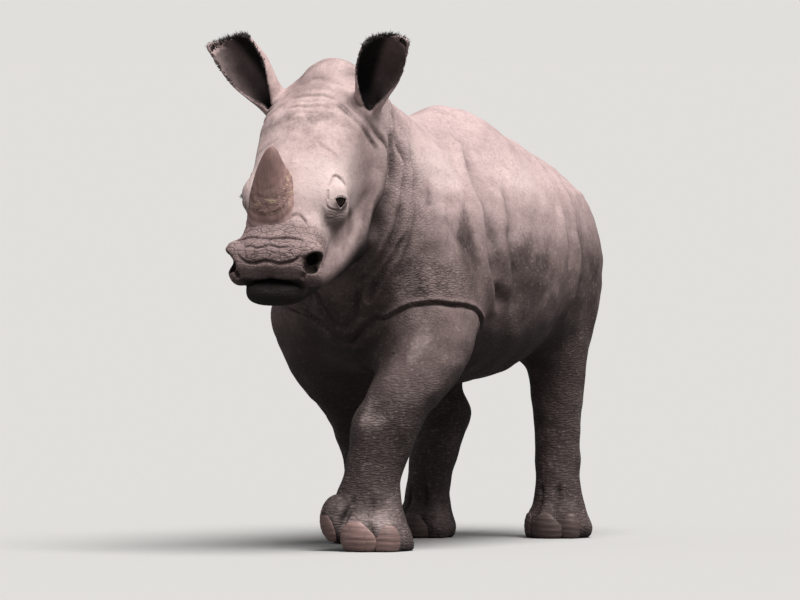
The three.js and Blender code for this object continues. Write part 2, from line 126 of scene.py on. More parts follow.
# Legs, from the sole up: at (height), x and y of the middle, wide, fore (towards the head), aft.
LEGS = {
    "fore_left": np.array([
        (0.000, 0.092, -0.444, 0.062, 0.058, 0.098),
        (0.025, 0.082, -0.448, 0.074, 0.066, 0.090),
        (0.065, 0.068, -0.446, 0.076, 0.060, 0.068),
        (0.105, 0.058, -0.438, 0.070, 0.054, 0.058),
        (0.145, 0.059, -0.430, 0.063, 0.054, 0.056),
        (0.210, 0.074, -0.414, 0.069, 0.062, 0.062),
        (0.270, 0.089, -0.400, 0.078, 0.072, 0.072),
        (0.330, 0.116, -0.372, 0.086, 0.080, 0.086),
        (0.400, 0.135, -0.334, 0.092, 0.096, 0.106),
        (0.480, 0.138, -0.306, 0.090, 0.118, 0.120),
        (0.570, 0.130, -0.290, 0.080, 0.110, 0.115),
        (0.680, 0.112, -0.285, 0.050, 0.060, 0.070),
    ]),
    "fore_right": np.array([
        (0.000, -0.100, -0.142, 0.068, 0.062, 0.056),
        (0.025, -0.100, -0.142, 0.076, 0.068, 0.060),
        (0.065, -0.100, -0.136, 0.068, 0.058, 0.056),
        (0.105, -0.100, -0.128, 0.061, 0.052, 0.054),
        (0.145, -0.101, -0.122, 0.058, 0.052, 0.054),
        (0.210, -0.106, -0.132, 0.066, 0.060, 0.060),
        (0.270, -0.114, -0.160, 0.074, 0.068, 0.070),
        (0.330, -0.126, -0.205, 0.084, 0.080, 0.084),
        (0.400, -0.138, -0.250, 0.094, 0.096, 0.106),
        (0.480, -0.142, -0.285, 0.094, 0.118, 0.120),
        (0.570, -0.132, -0.290, 0.080, 0.110, 0.115),
        (0.680, -0.112, -0.285, 0.050, 0.060, 0.070),
    ]),
    "hind_left": np.array([
        (0.000, 0.130, 0.298, 0.066, 0.060, 0.058),
        (0.025, 0.130, 0.298, 0.071, 0.064, 0.060),
        (0.065, 0.126, 0.296, 0.057, 0.054, 0.054),
        (0.120, 0.122, 0.298, 0.046, 0.046, 0.050),
        (0.190, 0.118, 0.306, 0.049, 0.050, 0.056),
        (0.260, 0.118, 0.306, 0.052, 0.056, 0.060),
        (0.330, 0.120, 0.302, 0.055, 0.060, 0.066),
        (0.400, 0.121, 0.298, 0.064, 0.088, 0.092),
        (0.500, 0.115, 0.300, 0.076, 0.140, 0.140),
        (0.610, 0.108, 0.312, 0.076, 0.146, 0.142),
        (0.720, 0.092, 0.322, 0.050, 0.080, 0.080),
    ]),
    "hind_right": np.array([
        (0.000, -0.132, 0.186, 0.058, 0.058, 0.054),
        (0.025, -0.132, 0.184, 0.063, 0.062, 0.056),
        (0.065, -0.131, 0.184, 0.054, 0.052, 0.052),
        (0.120, -0.129, 0.188, 0.046, 0.046, 0.050),
        (0.190, -0.125, 0.210, 0.050, 0.050, 0.058),
        (0.260, -0.121, 0.242, 0.054, 0.058, 0.064),
        (0.330, -0.127, 0.230, 0.051, 0.064, 0.042),
        (0.400, -0.124, 0.240, 0.062, 0.094, 0.072),
        (0.500, -0.116, 0.280, 0.076, 0.142, 0.138),
        (0.610, -0.108, 0.308, 0.076, 0.146, 0.142),
        (0.720, -0.092, 0.320, 0.050, 0.080, 0.080),
    ]),
}
# Toes from the inner one to the outer one: turn (degrees outwards), reach, wide, lift.
TOES = {
    "fore_left": ((-54, 0.077, 0.033, 0.040), (-4, 0.052, 0.048, 0.010), (48, 0.048, 0.034, 0.002)),
    "fore_right": ((-48, 0.040, 0.031, 0.0), (0, 0.044, 0.044, 0.0), (48, 0.040, 0.031, 0.0)),
    "hind_left": ((-48, 0.038, 0.028, 0.0), (0, 0.042, 0.040, 0.0), (48, 0.038, 0.028, 0.0)),
    "hind_right": ((-48, 0.036, 0.027, 0.0), (0, 0.040, 0.038, 0.0), (48, 0.036, 0.027, 0.0)),
}
# Tail, from its root down: at (height), x and y of the middle, wide, fore, aft.
TAIL = np.array([
    (0.730, 0.000, 0.462, 0.034, 0.030, 0.030),
    (0.690, 0.000, 0.500, 0.028, 0.024, 0.024),
    (0.640, 0.003, 0.528, 0.020, 0.018, 0.018),
    (0.560, 0.008, 0.542, 0.014, 0.012, 0.012),
    (0.480, 0.014, 0.548, 0.011, 0.009, 0.009),
    (0.420, 0.018, 0.551, 0.015, 0.008, 0.008),
    (0.385, 0.020, 0.552, 0.008, 0.005, 0.005),
])
# Ear, from its root to its blunt top: at, wide (radius), roll (degrees to each side of its back), bow, peak.
EAR_ROWS = np.array([
    (-0.20, 0.024, 165, 0.000, 0.000),
    (0.05, 0.030, 160, 0.000, 0.000),
    (0.25, 0.038, 132, 0.000, 0.000),
    (0.50, 0.048, 104, 0.000, 0.002),
    (0.75, 0.050, 86, 0.004, 0.007),
    (0.90, 0.048, 70, 0.009, 0.016),
    (0.97, 0.045, 58, 0.012, 0.026),
])
FAR = 0.2  # what a form says of places that are nowhere near it
EAR_SKIN_TOP = 0.91  # how far up the ear its skin goes; its hair goes on to the top
TAIL_SKIN_END = 0.43  # and how low the tail's skin goes

# ---- The view and the light ----
FLOOR_COLOUR = (0.40, 0.396, 0.388)
FLOOR_BOUNCE = (0.16, 0.155, 0.15)  # what light from the floor back to the model is worth
BACKDROP_COLOUR = (0.752, 0.738, 0.716)
AIM = np.array([-0.077, -0.041, 0.512])
VIEW_TURN = math.radians(28)
VIEW_RISE = math.radians(1.3)
VIEW_FAR = 24.0
VIEW_LENS = 509.8
KEY_FROM = (0.72, -0.34, 1.9)  # the way to the soft light overhead


# ---- Places on the head ----
def unit(vector):
    return np.asarray(vector, float) / np.linalg.norm(vector)


def head_places(points):
    """Points as places on the head: out to the left, down the face and over its middle line. The head's frame is
    turned about X by its pitch."""
    moved = points - HEAD_AT
    s, c = math.sin(HEAD_PITCH), math.cos(HEAD_PITCH)
    return np.stack([moved[:, 0], -(c * moved[:, 1] + s * moved[:, 2]), c * moved[:, 2] - s * moved[:, 1]], axis=1)


def from_head(places):
    """The inverse: places on the head as points."""
    places = np.asarray(places, float).reshape(-1, 3)
    s, c = math.sin(HEAD_PITCH), math.cos(HEAD_PITCH)
    y = -c * places[:, 1] - s * places[:, 2]
    z = -s * places[:, 1] + c * places[:, 2]
    return np.stack([places[:, 0], y, z], axis=1) + HEAD_AT


def left_places(points):
    """Points as places on the head, those of the right side mirrored to the left."""
    places = head_places(points)
    places[:, 0] = np.abs(places[:, 0])
    return places


def middle_of(node):
    low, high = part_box(node)
    return (np.array(low) + np.array(high)) / 2


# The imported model's origin is under the middle of its box, so everything made here moves there at the end.
SHIFT = middle_of("eye_left") - from_head(EYE["place"])[0]


# ---- Forms, as functions that say how far points lie outside them ----
def finer(rows, steps=10):
    """The rows with more between each two: a cubic whose slope at a row is that between its neighbours."""
    at = rows[:, :1]
    slope = np.empty_like(rows)
    slope[1:-1] = (rows[2:] - rows[:-2]) / (at[2:] - at[:-2])
    slope[0] = (rows[1] - rows[0]) / (at[1] - at[0])
    slope[-1] = (rows[-1] - rows[-2]) / (at[-1] - at[-2])
    t = np.linspace(0, 1, steps, endpoint=False)[None, :, None]
    span = (at[1:] - at[:-1])[:, None]
    between = (
        rows[:-1, None] * (2 * t**3 - 3 * t**2 + 1)
        + slope[:-1, None] * span * (t**3 - 2 * t**2 + t)
        + rows[1:, None] * (3 * t**2 - 2 * t**3)
        + slope[1:, None] * span * (t**3 - t**2)
    )
    found = np.vstack([between.reshape(-1, rows.shape[1]), rows[-1:]])
    return found if found[0, 0] < found[-1, 0] else found[::-1]


def columns(rows, at):
    """Every column but the first, at each place along the form."""
    return [np.interp(at, rows[:, 0], rows[:, i]) for i in range(1, rows.shape[1])]


def oval_reach(across, rise, square=2.0):
    """A place over its oval's own half sizes gives how many times too far out it is: the root of the sum of both
    powers."""
    return np.maximum(np.abs(across) ** square + np.abs(rise) ** square, 1e-9) ** (1 / square)


def capped(outside, beyond, round_by=0.02):
    """A form cut off at its ends, with a rounded edge: the larger of both distances, smoothly."""
    return -smaller(-outside, -beyond, round_by)


def smaller(a, b, blend):
    """The smaller of two distances, with a fillet where they are nearly equal: a joins to b."""
    share = np.clip(0.5 + 0.5 * (b - a) / blend, 0, 1)
    return b + (a - b) * share - blend * share * (1 - share)


def ends_beyond(rows, at):
    return np.maximum(rows[0, 0] - at, at - rows[-1, 0])


def standing(rows, along, across, height, last="square"):
    """Distance outside a form whose ovals stand across it: the distance from its middle less the oval's reach that
    way, over the steepness of the form there. A pear-shaped one is wider below its middle."""
    mid, wide, up, down, extra = columns(rows, along)
    rise = height - mid
    rise = np.where(np.abs(rise) < 1e-6, 1e-6, rise)
    v = rise / np.where(rise > 0, up, down)
    if last == "pear":
        wide = wide * (1 - extra * np.clip(v, -1, 1))
    reach = oval_reach(across / wide, v, extra if last == "square" else 2.0)
    radius = np.hypot(across, rise)
    tilt = np.gradient(rows, rows[:, 0], axis=0)
    aside, top, bottom = (
        np.interp(along, rows[:, 0], slope)
        for slope in (tilt[:, 2], tilt[:, 1] + tilt[:, 3], tilt[:, 4] - tilt[:, 1])
    )
    steep = 1 + ((across * aside) ** 2 + (rise * np.where(rise > 0, top, bottom)) ** 2) / radius**2
    return capped((radius - radius / reach) / np.sqrt(steep), ends_beyond(rows, along))


def lying(rows, points, round_by=0.012):
    """Distance outside a leg or tail, whose ovals lie flat at their own heights."""
    x, y, wide, fore, aft = columns(rows, points[:, 2])
    u = points[:, 0] - x
    v = points[:, 1] - y
    v = np.where(np.abs(v) < 1e-6, 1e-6, v)
    reach = oval_reach(u / wide, v / np.where(v > 0, aft, fore))
    radius = np.hypot(u, v)
    return capped(radius - radius / reach, ends_beyond(rows, points[:, 2]), round_by)


def oval(moved, radii):
    """Distance outside an oval body, from places about its middle."""
    reach = np.maximum(np.linalg.norm(moved / radii, axis=1), 1e-6)
    radius = np.maximum(np.linalg.norm(moved, axis=1), 1e-6)
    return radius - radius / reach


def near(points, low, high, outside):
    """Works a form out only inside its box, and gives FAR elsewhere."""
    found = np.full(len(points), FAR)
    inside = np.all((points > low) & (points < high), axis=1)
    if inside.any():
        found[inside] = outside(points[inside])
    return found


TRUNK_FINE, SKULL_FINE, JAW_FINE, TAIL_FINE, EAR_FINE = map(finer, (TRUNK, SKULL, JAW, TAIL, EAR_ROWS))
LEGS_FINE = {name: finer(rows) for name, rows in LEGS.items()}


def ear_frame(ear):
    up = unit(ear["lean"])
    turn = math.radians(ear["faces"])
    front = np.array([ear["side"] * math.sin(turn), -math.cos(turn), 0.0])
    front = unit(front - up * front.dot(up))
    return up, front, np.cross(up, front)


def ear_outside(points, ear):
    """Distance outside an ear: a sheet curled about its own length. A place is how far up the ear it is, how far
    round from its back, and how far from the axis, and each is set against the sheet's own limits there."""
    up, front, across = ear_frame(ear)
    moved = points - np.array(ear["root"])
    u = moved @ across
    height = moved @ up
    turn = np.zeros(len(points))
    for _ in range(2):
        at = (height - ear["side"] * turn) / EAR["height"]
        wide, roll, bow, peak = columns(EAR_FINE, at)
        w = moved @ front - bow
        turn = peak * u / np.maximum(np.hypot(u, w), 1e-6)
    radius = np.hypot(u, w)
    angle = np.abs(np.arctan2(u, -w))
    half = EAR["thick"] / 2 + 0.004 * np.clip((0.35 - at) / 0.35, 0, 1)
    aside = np.abs(radius - wide + half) - half
    round_it = (angle - np.radians(roll)) * np.maximum(radius, 0.01)
    above = (at - EAR_SKIN_TOP) * EAR["height"]
    limits = np.stack([aside, round_it, above])
    return np.linalg.norm(np.maximum(limits, 0), axis=0) + np.minimum(limits.max(axis=0), 0)


def toes_of(foot):
    """Each toe's place, its turn in radians, and its radii."""
    outwards = 1 if foot.endswith("left") else -1
    x, y = LEGS[foot][1, 1:3]
    found = []
    for turn, reach, wide, lift in TOES[foot]:
        heading = math.radians(turn) * outwards
        place = np.array([x + reach * math.sin(heading), y - reach * math.cos(heading), TOE_HIGH / 2 + lift])
        found.append((place, heading, np.array([wide, TOE_DEEP, TOE_HIGH])))
    return found


def turned_back(moved, heading):
    """Places about a toe's middle, in the toe's own frame."""
    s, c = math.sin(heading), math.cos(heading)
    return np.stack([c * moved[:, 0] + s * moved[:, 1], c * moved[:, 1] - s * moved[:, 0], moved[:, 2]], axis=1)


def leg_outside(points, foot):
    found = lying(LEGS_FINE[foot], points)
    for place, heading, radii in toes_of(foot):
        found = smaller(found, oval(turned_back(points - place, heading), radii), 0.010)
    return found


# The eye's own frame on the head: out of the face, up across the slit between the lids, and back along it.
EYE_OUT = unit((0.75, 0.36, 0.55))
EYE_UP = np.array([0.0, -math.sin(HEAD_PITCH), math.cos(HEAD_PITCH)])
EYE_UP = unit(EYE_UP - EYE_OUT * EYE_UP.dot(EYE_OUT))
EYE_BACK = np.cross(EYE_OUT, EYE_UP)


def eye_places(places):
    """Places on the head, mirrored to the left side, about the eye: back along its slit, up across it, out of it."""
    moved = places - np.array(EYE["place"])
    return moved @ EYE_BACK, moved @ EYE_UP, moved @ EYE_OUT


def head_outside(points):
    """Distance outside the skull with its brows, lids, nostril wings and lips. Both sides are worked out as one."""
    places = head_places(points)
    found = standing(SKULL_FINE, places[:, 1], places[:, 0], places[:, 2])
    found = -smaller(-found, oval(places - MOUTH["place"], MOUTH["radii"]), 0.008)
    mirrored = places * [0, 1, 1] + np.abs(places) * [1, 0, 0]
    found = smaller(found, oval(mirrored - BROW["place"], BROW["radii"]), 0.022)
    found = smaller(found, oval(mirrored - WING["place"], WING["radii"]), 0.012)
    found = smaller(found, oval(mirrored - LIP["place"], LIP["radii"]), 0.008)
    back, up, out = eye_places(mirrored)
    ball = np.sqrt(back**2 + up**2 + out**2) - (EYE["radius"] + 0.0035)
    dome = oval(np.stack([back, up - LID["up"], out - LID["out"]], axis=1), LID["radii"])
    pouch = oval(np.stack([back, up + POUCH["down"], out - POUCH["out"]], axis=1), POUCH["radii"])
    found = smaller(smaller(found, pouch, 0.022), smaller(ball, dome, 0.004), 0.010)
    upper = 0.0050 - 0.0035 * (back / 0.0125) ** 2
    lower = -0.0155 + 0.0170 * (np.abs(back - 0.001) / 0.0125) ** 1.6
    opening = np.maximum(np.maximum(up - upper, lower - up), np.abs(back) - 0.0125)
    return -smaller(-found, np.maximum(opening, -out), 0.0025)


def nostril_outside(points):
    """Distance outside the hollows of the nose: round ones that lead inwards and run out in a slit below, mirrored
    on both sides."""
    places = left_places(points)
    hollow = oval(places - NOSTRIL["place"], NOSTRIL["radii"])
    slit = oval(places - SLIT["place"], SLIT["radii"])
    inner = oval(places - (0.080, 0.405, -0.006), (0.014, 0.016, 0.016))
    return smaller(smaller(hollow, inner, 0.012), slit, 0.006)


def tail_outside(points):
    return capped(lying(TAIL_FINE, points, 0.006), TAIL_SKIN_END - points[:, 2], 0.006)


def hide_outside(points):
    """Distance outside the whole hide: each form joined to the rest with its own fillet, then the hollows."""
    found = standing(TRUNK_FINE, points[:, 1], points[:, 0], points[:, 2], "pear")
    for foot in FEET:
        rows = LEGS[foot]
        low = np.array([rows[:, 1].min() - 0.20, rows[:, 2].min() - 0.25, -0.1])
        high = np.array([rows[:, 1].max() + 0.20, rows[:, 2].max() + 0.25, 0.80])
        leg = near(points, low, high, lambda p, foot=foot: leg_outside(p, foot))
        found = smaller(found, leg, 0.045)
    tail = near(points, (-0.15, 0.36, 0.30), (0.15, 0.68, 0.82), tail_outside)
    found = smaller(found, tail, 0.025)
    head_box = ((-0.26, -0.92, 0.40), (0.26, -0.30, 1.16))
    head = near(points, *head_box, head_outside)
    found = smaller(found, head, 0.035)
    jaw_box = ((-0.20, -0.88, 0.42), (0.20, -0.36, 0.86))
    jaw = near(points, *jaw_box, lambda p: standing(JAW_FINE, p[:, 1], p[:, 0], p[:, 2]))
    forward = np.clip((-0.56 - points[:, 1]) / 0.10, 0, 1)
    found = smaller(found, jaw, 0.028 - 0.022 * forward)
    for ear in EARS.values():
        root = np.array(ear["root"])
        sheet = near(points, root - 0.22, root + 0.27, lambda p, ear=ear: ear_outside(p, ear))
        found = smaller(found, sheet, 0.014)
    nostrils = near(points, *head_box, nostril_outside)
    found = -smaller(-found, nostrils, 0.006)
    return capped(found, -points[:, 2], 0.004)


# ---- The skin's mesh ----
CORNERS = np.array([(i, j, k) for i in (0, 1) for j in (0, 1) for k in (0, 1)])
EDGES = [(a, b) for a in range(8) for b in range(a + 1, 8) if abs(CORNERS[a] - CORNERS[b]).sum() == 1]


def cell_keys(cells):
    return (cells[:, 0].astype(np.int64) << 42) | (cells[:, 1].astype(np.int64) << 21) | cells[:, 2]


def net(outside, low, high, size, levels):
    """A closed net of quads over a form. Cells near its surface are halved again and again; each last cell that
    the surface crosses gets one point, the mean of the places where it crosses the cell's edges, and each crossed
    edge gets one quad, through the points of the four cells round it."""
    step = size * 2**levels
    counts = np.ceil((np.array(high) - low) / step).astype(int)
    cells = np.stack(np.meshgrid(*map(np.arange, counts), indexing="ij"), -1).reshape(-1, 3)
    for _ in range(levels):
        close = np.abs(outside(low + (cells + 0.5) * step)) < 1.5 * step
        cells = (cells[close][:, None] * 2 + CORNERS).reshape(-1, 3)
        step /= 2
    corners = (cells[:, None] + CORNERS).reshape(-1, 3)
    keys, first, which = np.unique(cell_keys(corners), return_index=True, return_inverse=True)
    value = outside(low + corners[first] * step)[which.ravel()].reshape(-1, 8)
    crossed = (value.min(axis=1) < 0) & (value.max(axis=1) >= 0)
    cells, value = cells[crossed], value[crossed]
    place = np.zeros((len(cells), 3))
    number = np.zeros((len(cells), 1))
    for a, b in EDGES:
        change = (value[:, a] < 0) != (value[:, b] < 0)
        t = np.where(change, value[:, a] / np.where(change, value[:, a] - value[:, b], 1), 0)[:, None]
        place += change[:, None] * (CORNERS[a] * (1 - t) + CORNERS[b] * t)
        number += change[:, None]
    points = low + (cells + place / number) * step
    keys = cell_keys(cells)
    order = np.argsort(keys)
    quads = []
    for axis in range(3):
        ahead = value[:, 4 >> axis]
        for sense in (True, False):
            edge = cells[(value[:, 0] < 0) & (ahead >= 0)] if sense else cells[(value[:, 0] >= 0) & (ahead < 0)]
            u, v = np.eye(3, dtype=int)[[(axis + 1) % 3, (axis + 2) % 3]]
            round_it = [edge, edge - u, edge - u - v, edge - v]
            found = [order[np.searchsorted(keys, cell_keys(cell), sorter=order)] for cell in round_it]
            quads.append(np.stack(found if sense else found[::-1], axis=1))
    return points, np.vstack(quads)


def onto(outside, points, most=np.inf, step=0.0006):
    """Points brought onto a form's surface: each moves against the slope of the distance there, which comes from a
    small step along each axis, and goes no further than most."""
    here = outside(points)
    ways = np.stack([outside(points + np.eye(3)[i] * step) - here for i in range(3)], axis=1) / step
    square = np.maximum((ways**2).sum(axis=1), 0.25)
    return points - ways * (np.clip(here, -most, most) / square)[:, None]


def settled(outside, points, quads, rounds):
    """The net's points evened out: each moves a little to the mean of its neighbours, then onto the surface."""
    pairs = np.vstack([quads[:, [i, (i + 1) % 4]] for i in range(4)])
    number = np.bincount(pairs[:, 0], minlength=len(points))
    for _ in range(rounds):
        mean = np.stack([np.bincount(pairs[:, 0], points[pairs[:, 1], i], len(points)) for i in range(3)], axis=1)
        points = onto(outside, points * 0.5 + mean / number[:, None] * 0.5, 0.003)
    return points


def new_mesh(name, points, faces, smooth=True):
    """A mesh object at the origin, with its place in its points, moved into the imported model's frame."""
    mesh = bpy.data.meshes.new(name)
    mesh.from_pydata((points + SHIFT).tolist(), [], faces if isinstance(faces, list) else faces.tolist())
    mesh.polygons.foreach_set("use_smooth", np.full(len(mesh.polygons), smooth))
    mesh.update()
    piece = bpy.data.objects.new(name, mesh)
    bpy.context.scene.collection.objects.link(piece)
    return piece


def kept(piece, slot, *nodes):
    """Rides the piece on the one body and lets it stand for its nodes. The slot is not used."""
    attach(piece, "root")
    if nodes:
        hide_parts(*nodes)
    return piece


# ---- Folds and creases ----
def round_line(points, line, reach):
    """Which points lie within reach of a line through a few places, how far each is from it, the way to it, the
    line's own way there, and how far along the line it is, from 0 to 1."""
    line = np.asarray(line, float)
    inside = np.all((points > line.min(axis=0) - reach) & (points < line.max(axis=0) + reach), axis=1)
    some = np.flatnonzero(inside)
    best = np.full(len(some), np.inf)
    way = np.zeros((len(some), 3))
    heading = np.zeros((len(some), 3))
    along = np.zeros(len(some))
    for i in range(len(line) - 1):
        step = line[i + 1] - line[i]
        t = np.clip(((points[some] - line[i]) @ step) / step.dot(step), 0, 1)
        to = points[some] - line[i] - t[:, None] * step
        far = np.linalg.norm(to, axis=1)
        closer = far < best
        best[closer], way[closer], heading[closer] = far[closer], to[closer], unit(step)
        along[closer] = (i + t[closer]) / (len(line) - 1)
    return some, best, way, heading, along


# Creases of the body's left side, each from end to end, with how deep and how wide it is, how far the skin on its
# right-hand side swells over it (or below 0 on its left), and how many times wider the dip is on the other side.
# The right side of the body has them too.
BODY_CREASES = (
    # between the cheek and the neck, and down the neck
    (((0.110, -0.470, 0.880), (0.134, -0.480, 0.826), (0.135, -0.484, 0.776), (0.124, -0.495, 0.731),
      (0.110, -0.503, 0.691), (0.091, -0.510, 0.631), (0.040, -0.480, 0.575)), 0.020, 0.009, -0.009, 1.2),
    (((0.100, -0.425, 0.925), (0.125, -0.450, 0.880), (0.138, -0.454, 0.845), (0.148, -0.441, 0.809),
      (0.152, -0.449, 0.766), (0.146, -0.461, 0.697), (0.135, -0.467, 0.660), (0.103, -0.472, 0.602),
      (0.040, -0.455, 0.550)), 0.013, 0.007, -0.006, 1.5),
    (((0.120, -0.400, 0.880), (0.155, -0.408, 0.820), (0.168, -0.415, 0.760), (0.170, -0.425, 0.690),
      (0.155, -0.440, 0.620), (0.110, -0.450, 0.560)), 0.007, 0.009, -0.004, 1.5),
    # behind the shoulder, and the roll behind that
    (((0.041, -0.160, 0.897), (0.080, -0.153, 0.878), (0.128, -0.145, 0.838), (0.168, -0.181, 0.778),
      (0.199, -0.185, 0.709), (0.214, -0.191, 0.654), (0.222, -0.193, 0.589), (0.224, -0.169, 0.524),
      (0.214, -0.150, 0.475)), 0.019, 0.010, -0.011, 3.2),
    (((0.186, -0.093, 0.764), (0.214, -0.100, 0.701), (0.229, -0.125, 0.637), (0.230, -0.118, 0.560),
      (0.224, -0.122, 0.490)), 0.007, 0.010, -0.006, 2.2),
    # over the top of the leg
    (((0.060, -0.440, 0.470), (0.089, -0.428, 0.484), (0.130, -0.420, 0.502), (0.169, -0.408, 0.514),
      (0.200, -0.376, 0.514), (0.216, -0.335, 0.508), (0.222, -0.280, 0.500), (0.214, -0.222, 0.478),
      (0.192, -0.185, 0.440)), 0.011, 0.0028, 0.0045, 1.3),
    # at the hip
    (((0.119, 0.203, 0.814), (0.165, 0.170, 0.760), (0.200, 0.165, 0.710), (0.227, 0.145, 0.645),
      (0.239, 0.123, 0.567)), 0.015, 0.008, -0.007, 2.2),
    (((0.120, 0.290, 0.780), (0.170, 0.260, 0.728), (0.205, 0.230, 0.656), (0.219, 0.205, 0.590),
      (0.216, 0.190, 0.520), (0.200, 0.175, 0.455)), 0.012, 0.009, -0.005, 2.0),
    (((0.070, 0.200, 0.868), (0.110, 0.212, 0.822), (0.148, 0.214, 0.775)), 0.005, 0.006, -0.002, 2.0),
    # across the throat and the chest
    (((0.060, -0.449, 0.511), (0.079, -0.458, 0.543), (0.105, -0.462, 0.581), (0.134, -0.456, 0.626),
      (0.152, -0.440, 0.670)), 0.009, 0.007, -0.003, 1.0),
    (((0.000, -0.425, 0.470), (0.022, -0.440, 0.479), (0.042, -0.459, 0.522), (0.066, -0.469, 0.553)),
     0.009, 0.007, -0.003, 1.0),
    (((0.000, -0.404, 0.426), (0.030, -0.420, 0.445), (0.066, -0.425, 0.480), (0.110, -0.432, 0.520),
      (0.140, -0.432, 0.560)), 0.006, 0.008, -0.003, 1.0),
    # on the shoulder
    (((0.184, -0.355, 0.698), (0.198, -0.315, 0.656), (0.212, -0.272, 0.614), (0.220, -0.252, 0.561)),
     0.004, 0.018, -0.002, 1.0),
)
# Creases of the head, as places on it. Those that start at its middle line meet their mirror image there.
HEAD_CREASES = (
    # the fold in front of the horn, down to the nostril's wing
    (((0.000, 0.350, 0.041), (0.022, 0.341, 0.041), (0.045, 0.331, 0.039), (0.064, 0.340, 0.034),
      (0.074, 0.352, 0.031)), 0.0045, 0.0030, 0.0012),
    # across the nose, over the nostrils
    (((0.000, 0.391, 0.040), (0.030, 0.387, 0.039), (0.066, 0.386, 0.033), (0.092, 0.384, 0.022)),
     0.004, 0.0024, 0.0008),
    # the deep wrinkle above the lip
    (((0.000, 0.436, 0.023), (0.016, 0.438, 0.023), (0.032, 0.440, 0.022), (0.053, 0.436, 0.022),
      (0.070, 0.426, 0.025), (0.078, 0.414, 0.030)), 0.006, 0.0026, 0.0006),
    # between both
    (((0.000, 0.405, 0.036), (0.025, 0.410, 0.036), (0.045, 0.407, 0.034), (0.062, 0.410, 0.032)),
     0.003, 0.0022, 0.0005),
    # the slit under the nostril
    (((0.094, 0.424, 0.012), (0.088, 0.438, 0.008), (0.080, 0.450, 0.000), (0.073, 0.458, -0.012)),
     0.010, 0.004, 0.001),
    # the arch over the upper lid, and the corner and folds under the eye
    (((0.094, 0.262, 0.040), (0.098, 0.240, 0.038), (0.102, 0.228, 0.032), (0.110, 0.228, 0.016),
      (0.116, 0.238, 0.000)), 0.004, 0.0022, 0.001),
    (((0.098, 0.284, 0.034), (0.102, 0.300, 0.024), (0.110, 0.303, 0.010), (0.116, 0.296, -0.004)),
     0.0015, 0.0016, 0.0006),
    (((0.100, 0.305, 0.028), (0.102, 0.318, 0.014), (0.106, 0.318, 0.000), (0.110, 0.308, -0.014)),
     0.0012, 0.0016, 0.0005),
    (((0.094, 0.262, 0.036), (0.098, 0.276, 0.034), (0.100, 0.288, 0.026)), 0.0025, 0.0016, 0.0006),
    (((0.099, 0.300, 0.034), (0.102, 0.330, 0.016), (0.104, 0.330, -0.006), (0.102, 0.316, -0.028)),
     0.0010, 0.0018, 0.0004),
    # across the brow, under the crown
    (((0.000, 0.040, 0.051), (0.020, 0.040, 0.051), (0.040, 0.044, 0.049), (0.062, 0.052, 0.046)),
     0.003, 0.003, 0.001),
    (((0.000, 0.059, 0.056), (0.028, 0.056, 0.055), (0.045, 0.060, 0.052)), 0.0015, 0.0025, 0.0),
    (((0.000, 0.074, 0.060), (0.027, 0.071, 0.059), (0.050, 0.078, 0.057)), 0.0025, 0.003, 0.001),
    (((0.000, 0.090, 0.063), (0.022, 0.088, 0.063), (0.042, 0.095, 0.062)), 0.0015, 0.003, 0.0),
    (((0.000, -0.004, 0.053), (0.018, -0.001, 0.051), (0.034, 0.005, 0.048), (0.049, 0.007, 0.043),
      (0.062, 0.011, 0.039)), 0.003, 0.005, -0.002),
    # round the ear's root and down the edge of the face
    (((0.064, 0.024, 0.043), (0.085, 0.052, 0.044), (0.108, 0.067, 0.032), (0.119, 0.071, 0.006),
      (0.121, 0.075, -0.029), (0.127, 0.084, -0.064), (0.133, 0.099, -0.089)), 0.007, 0.005, 0.002),
    (((0.051, 0.053, 0.052), (0.081, 0.071, 0.049), (0.106, 0.091, 0.037), (0.119, 0.101, 0.012),
      (0.120, 0.102, -0.030), (0.122, 0.112, -0.063)), 0.004, 0.004, 0.002),
    (((0.086, 0.040, 0.042), (0.100, 0.050, 0.036), (0.114, 0.050, 0.023), (0.127, 0.044, 0.012)),
     0.005, 0.004, 0.001),
    # down the cheek, and a scratch on the face
    (((0.101, 0.242, -0.053), (0.090, 0.268, -0.089), (0.092, 0.311, -0.099), (0.090, 0.344, -0.112)),
     0.003, 0.007, 0.001),
    (((0.044, 0.159, 0.063), (0.070, 0.172, 0.054), (0.096, 0.188, 0.036)), 0.0012, 0.0025, 0.001),
)


def on_surface(line, steps=5):
    """A line's places with more between them, a little unsteady, brought onto the hide."""
    line = finer(np.column_stack([np.arange(len(line)), line]).astype(float), steps)[:, 1:]
    line = line + 0.0012 * np.stack([ripples(line, 0.04, seed, 8) for seed in (21, 22, 23)], axis=1)
    for _ in range(4):
        line = onto(hide_outside, line)
    return line


def toe_creases():
    """The grooves between a foot's toes, from the floor up to its ankle."""
    for foot in FEET:
        toes = toes_of(foot)
        x, y = LEGS[foot][1, 1:3]
        for (_, first, _), (_, second, _) in zip(toes, toes[1:]):
            turn = (first + second) / 2
            reach = np.array([0.080, 0.086, 0.080, 0.062, 0.056])
            height = np.array([0.004, 0.030, 0.062, 0.092, 0.120])
            yield np.stack([x + reach * math.sin(turn), y - reach * math.cos(turn), height], axis=1)


def all_creases():
    found = [(on_surface(line), 0.008, 0.006, 0.0, 1.0) for line in toe_creases()]
    lines = [(np.array(line), sizes) for line, *sizes in BODY_CREASES]
    lines += [(from_head(line), (*sizes, 1.0)) for line, *sizes in HEAD_CREASES]
    for line, sizes in lines:
        other = line[::-1] * [-1, 1, 1]
        ways = [np.vstack([other[:-1], line])] if line[0, 0] == 0 else [line, other]
        found += [(on_surface(way), *sizes) for way in ways]
    return found


CREASE_END = 0.16  # the share of a crease over which it fades at either end


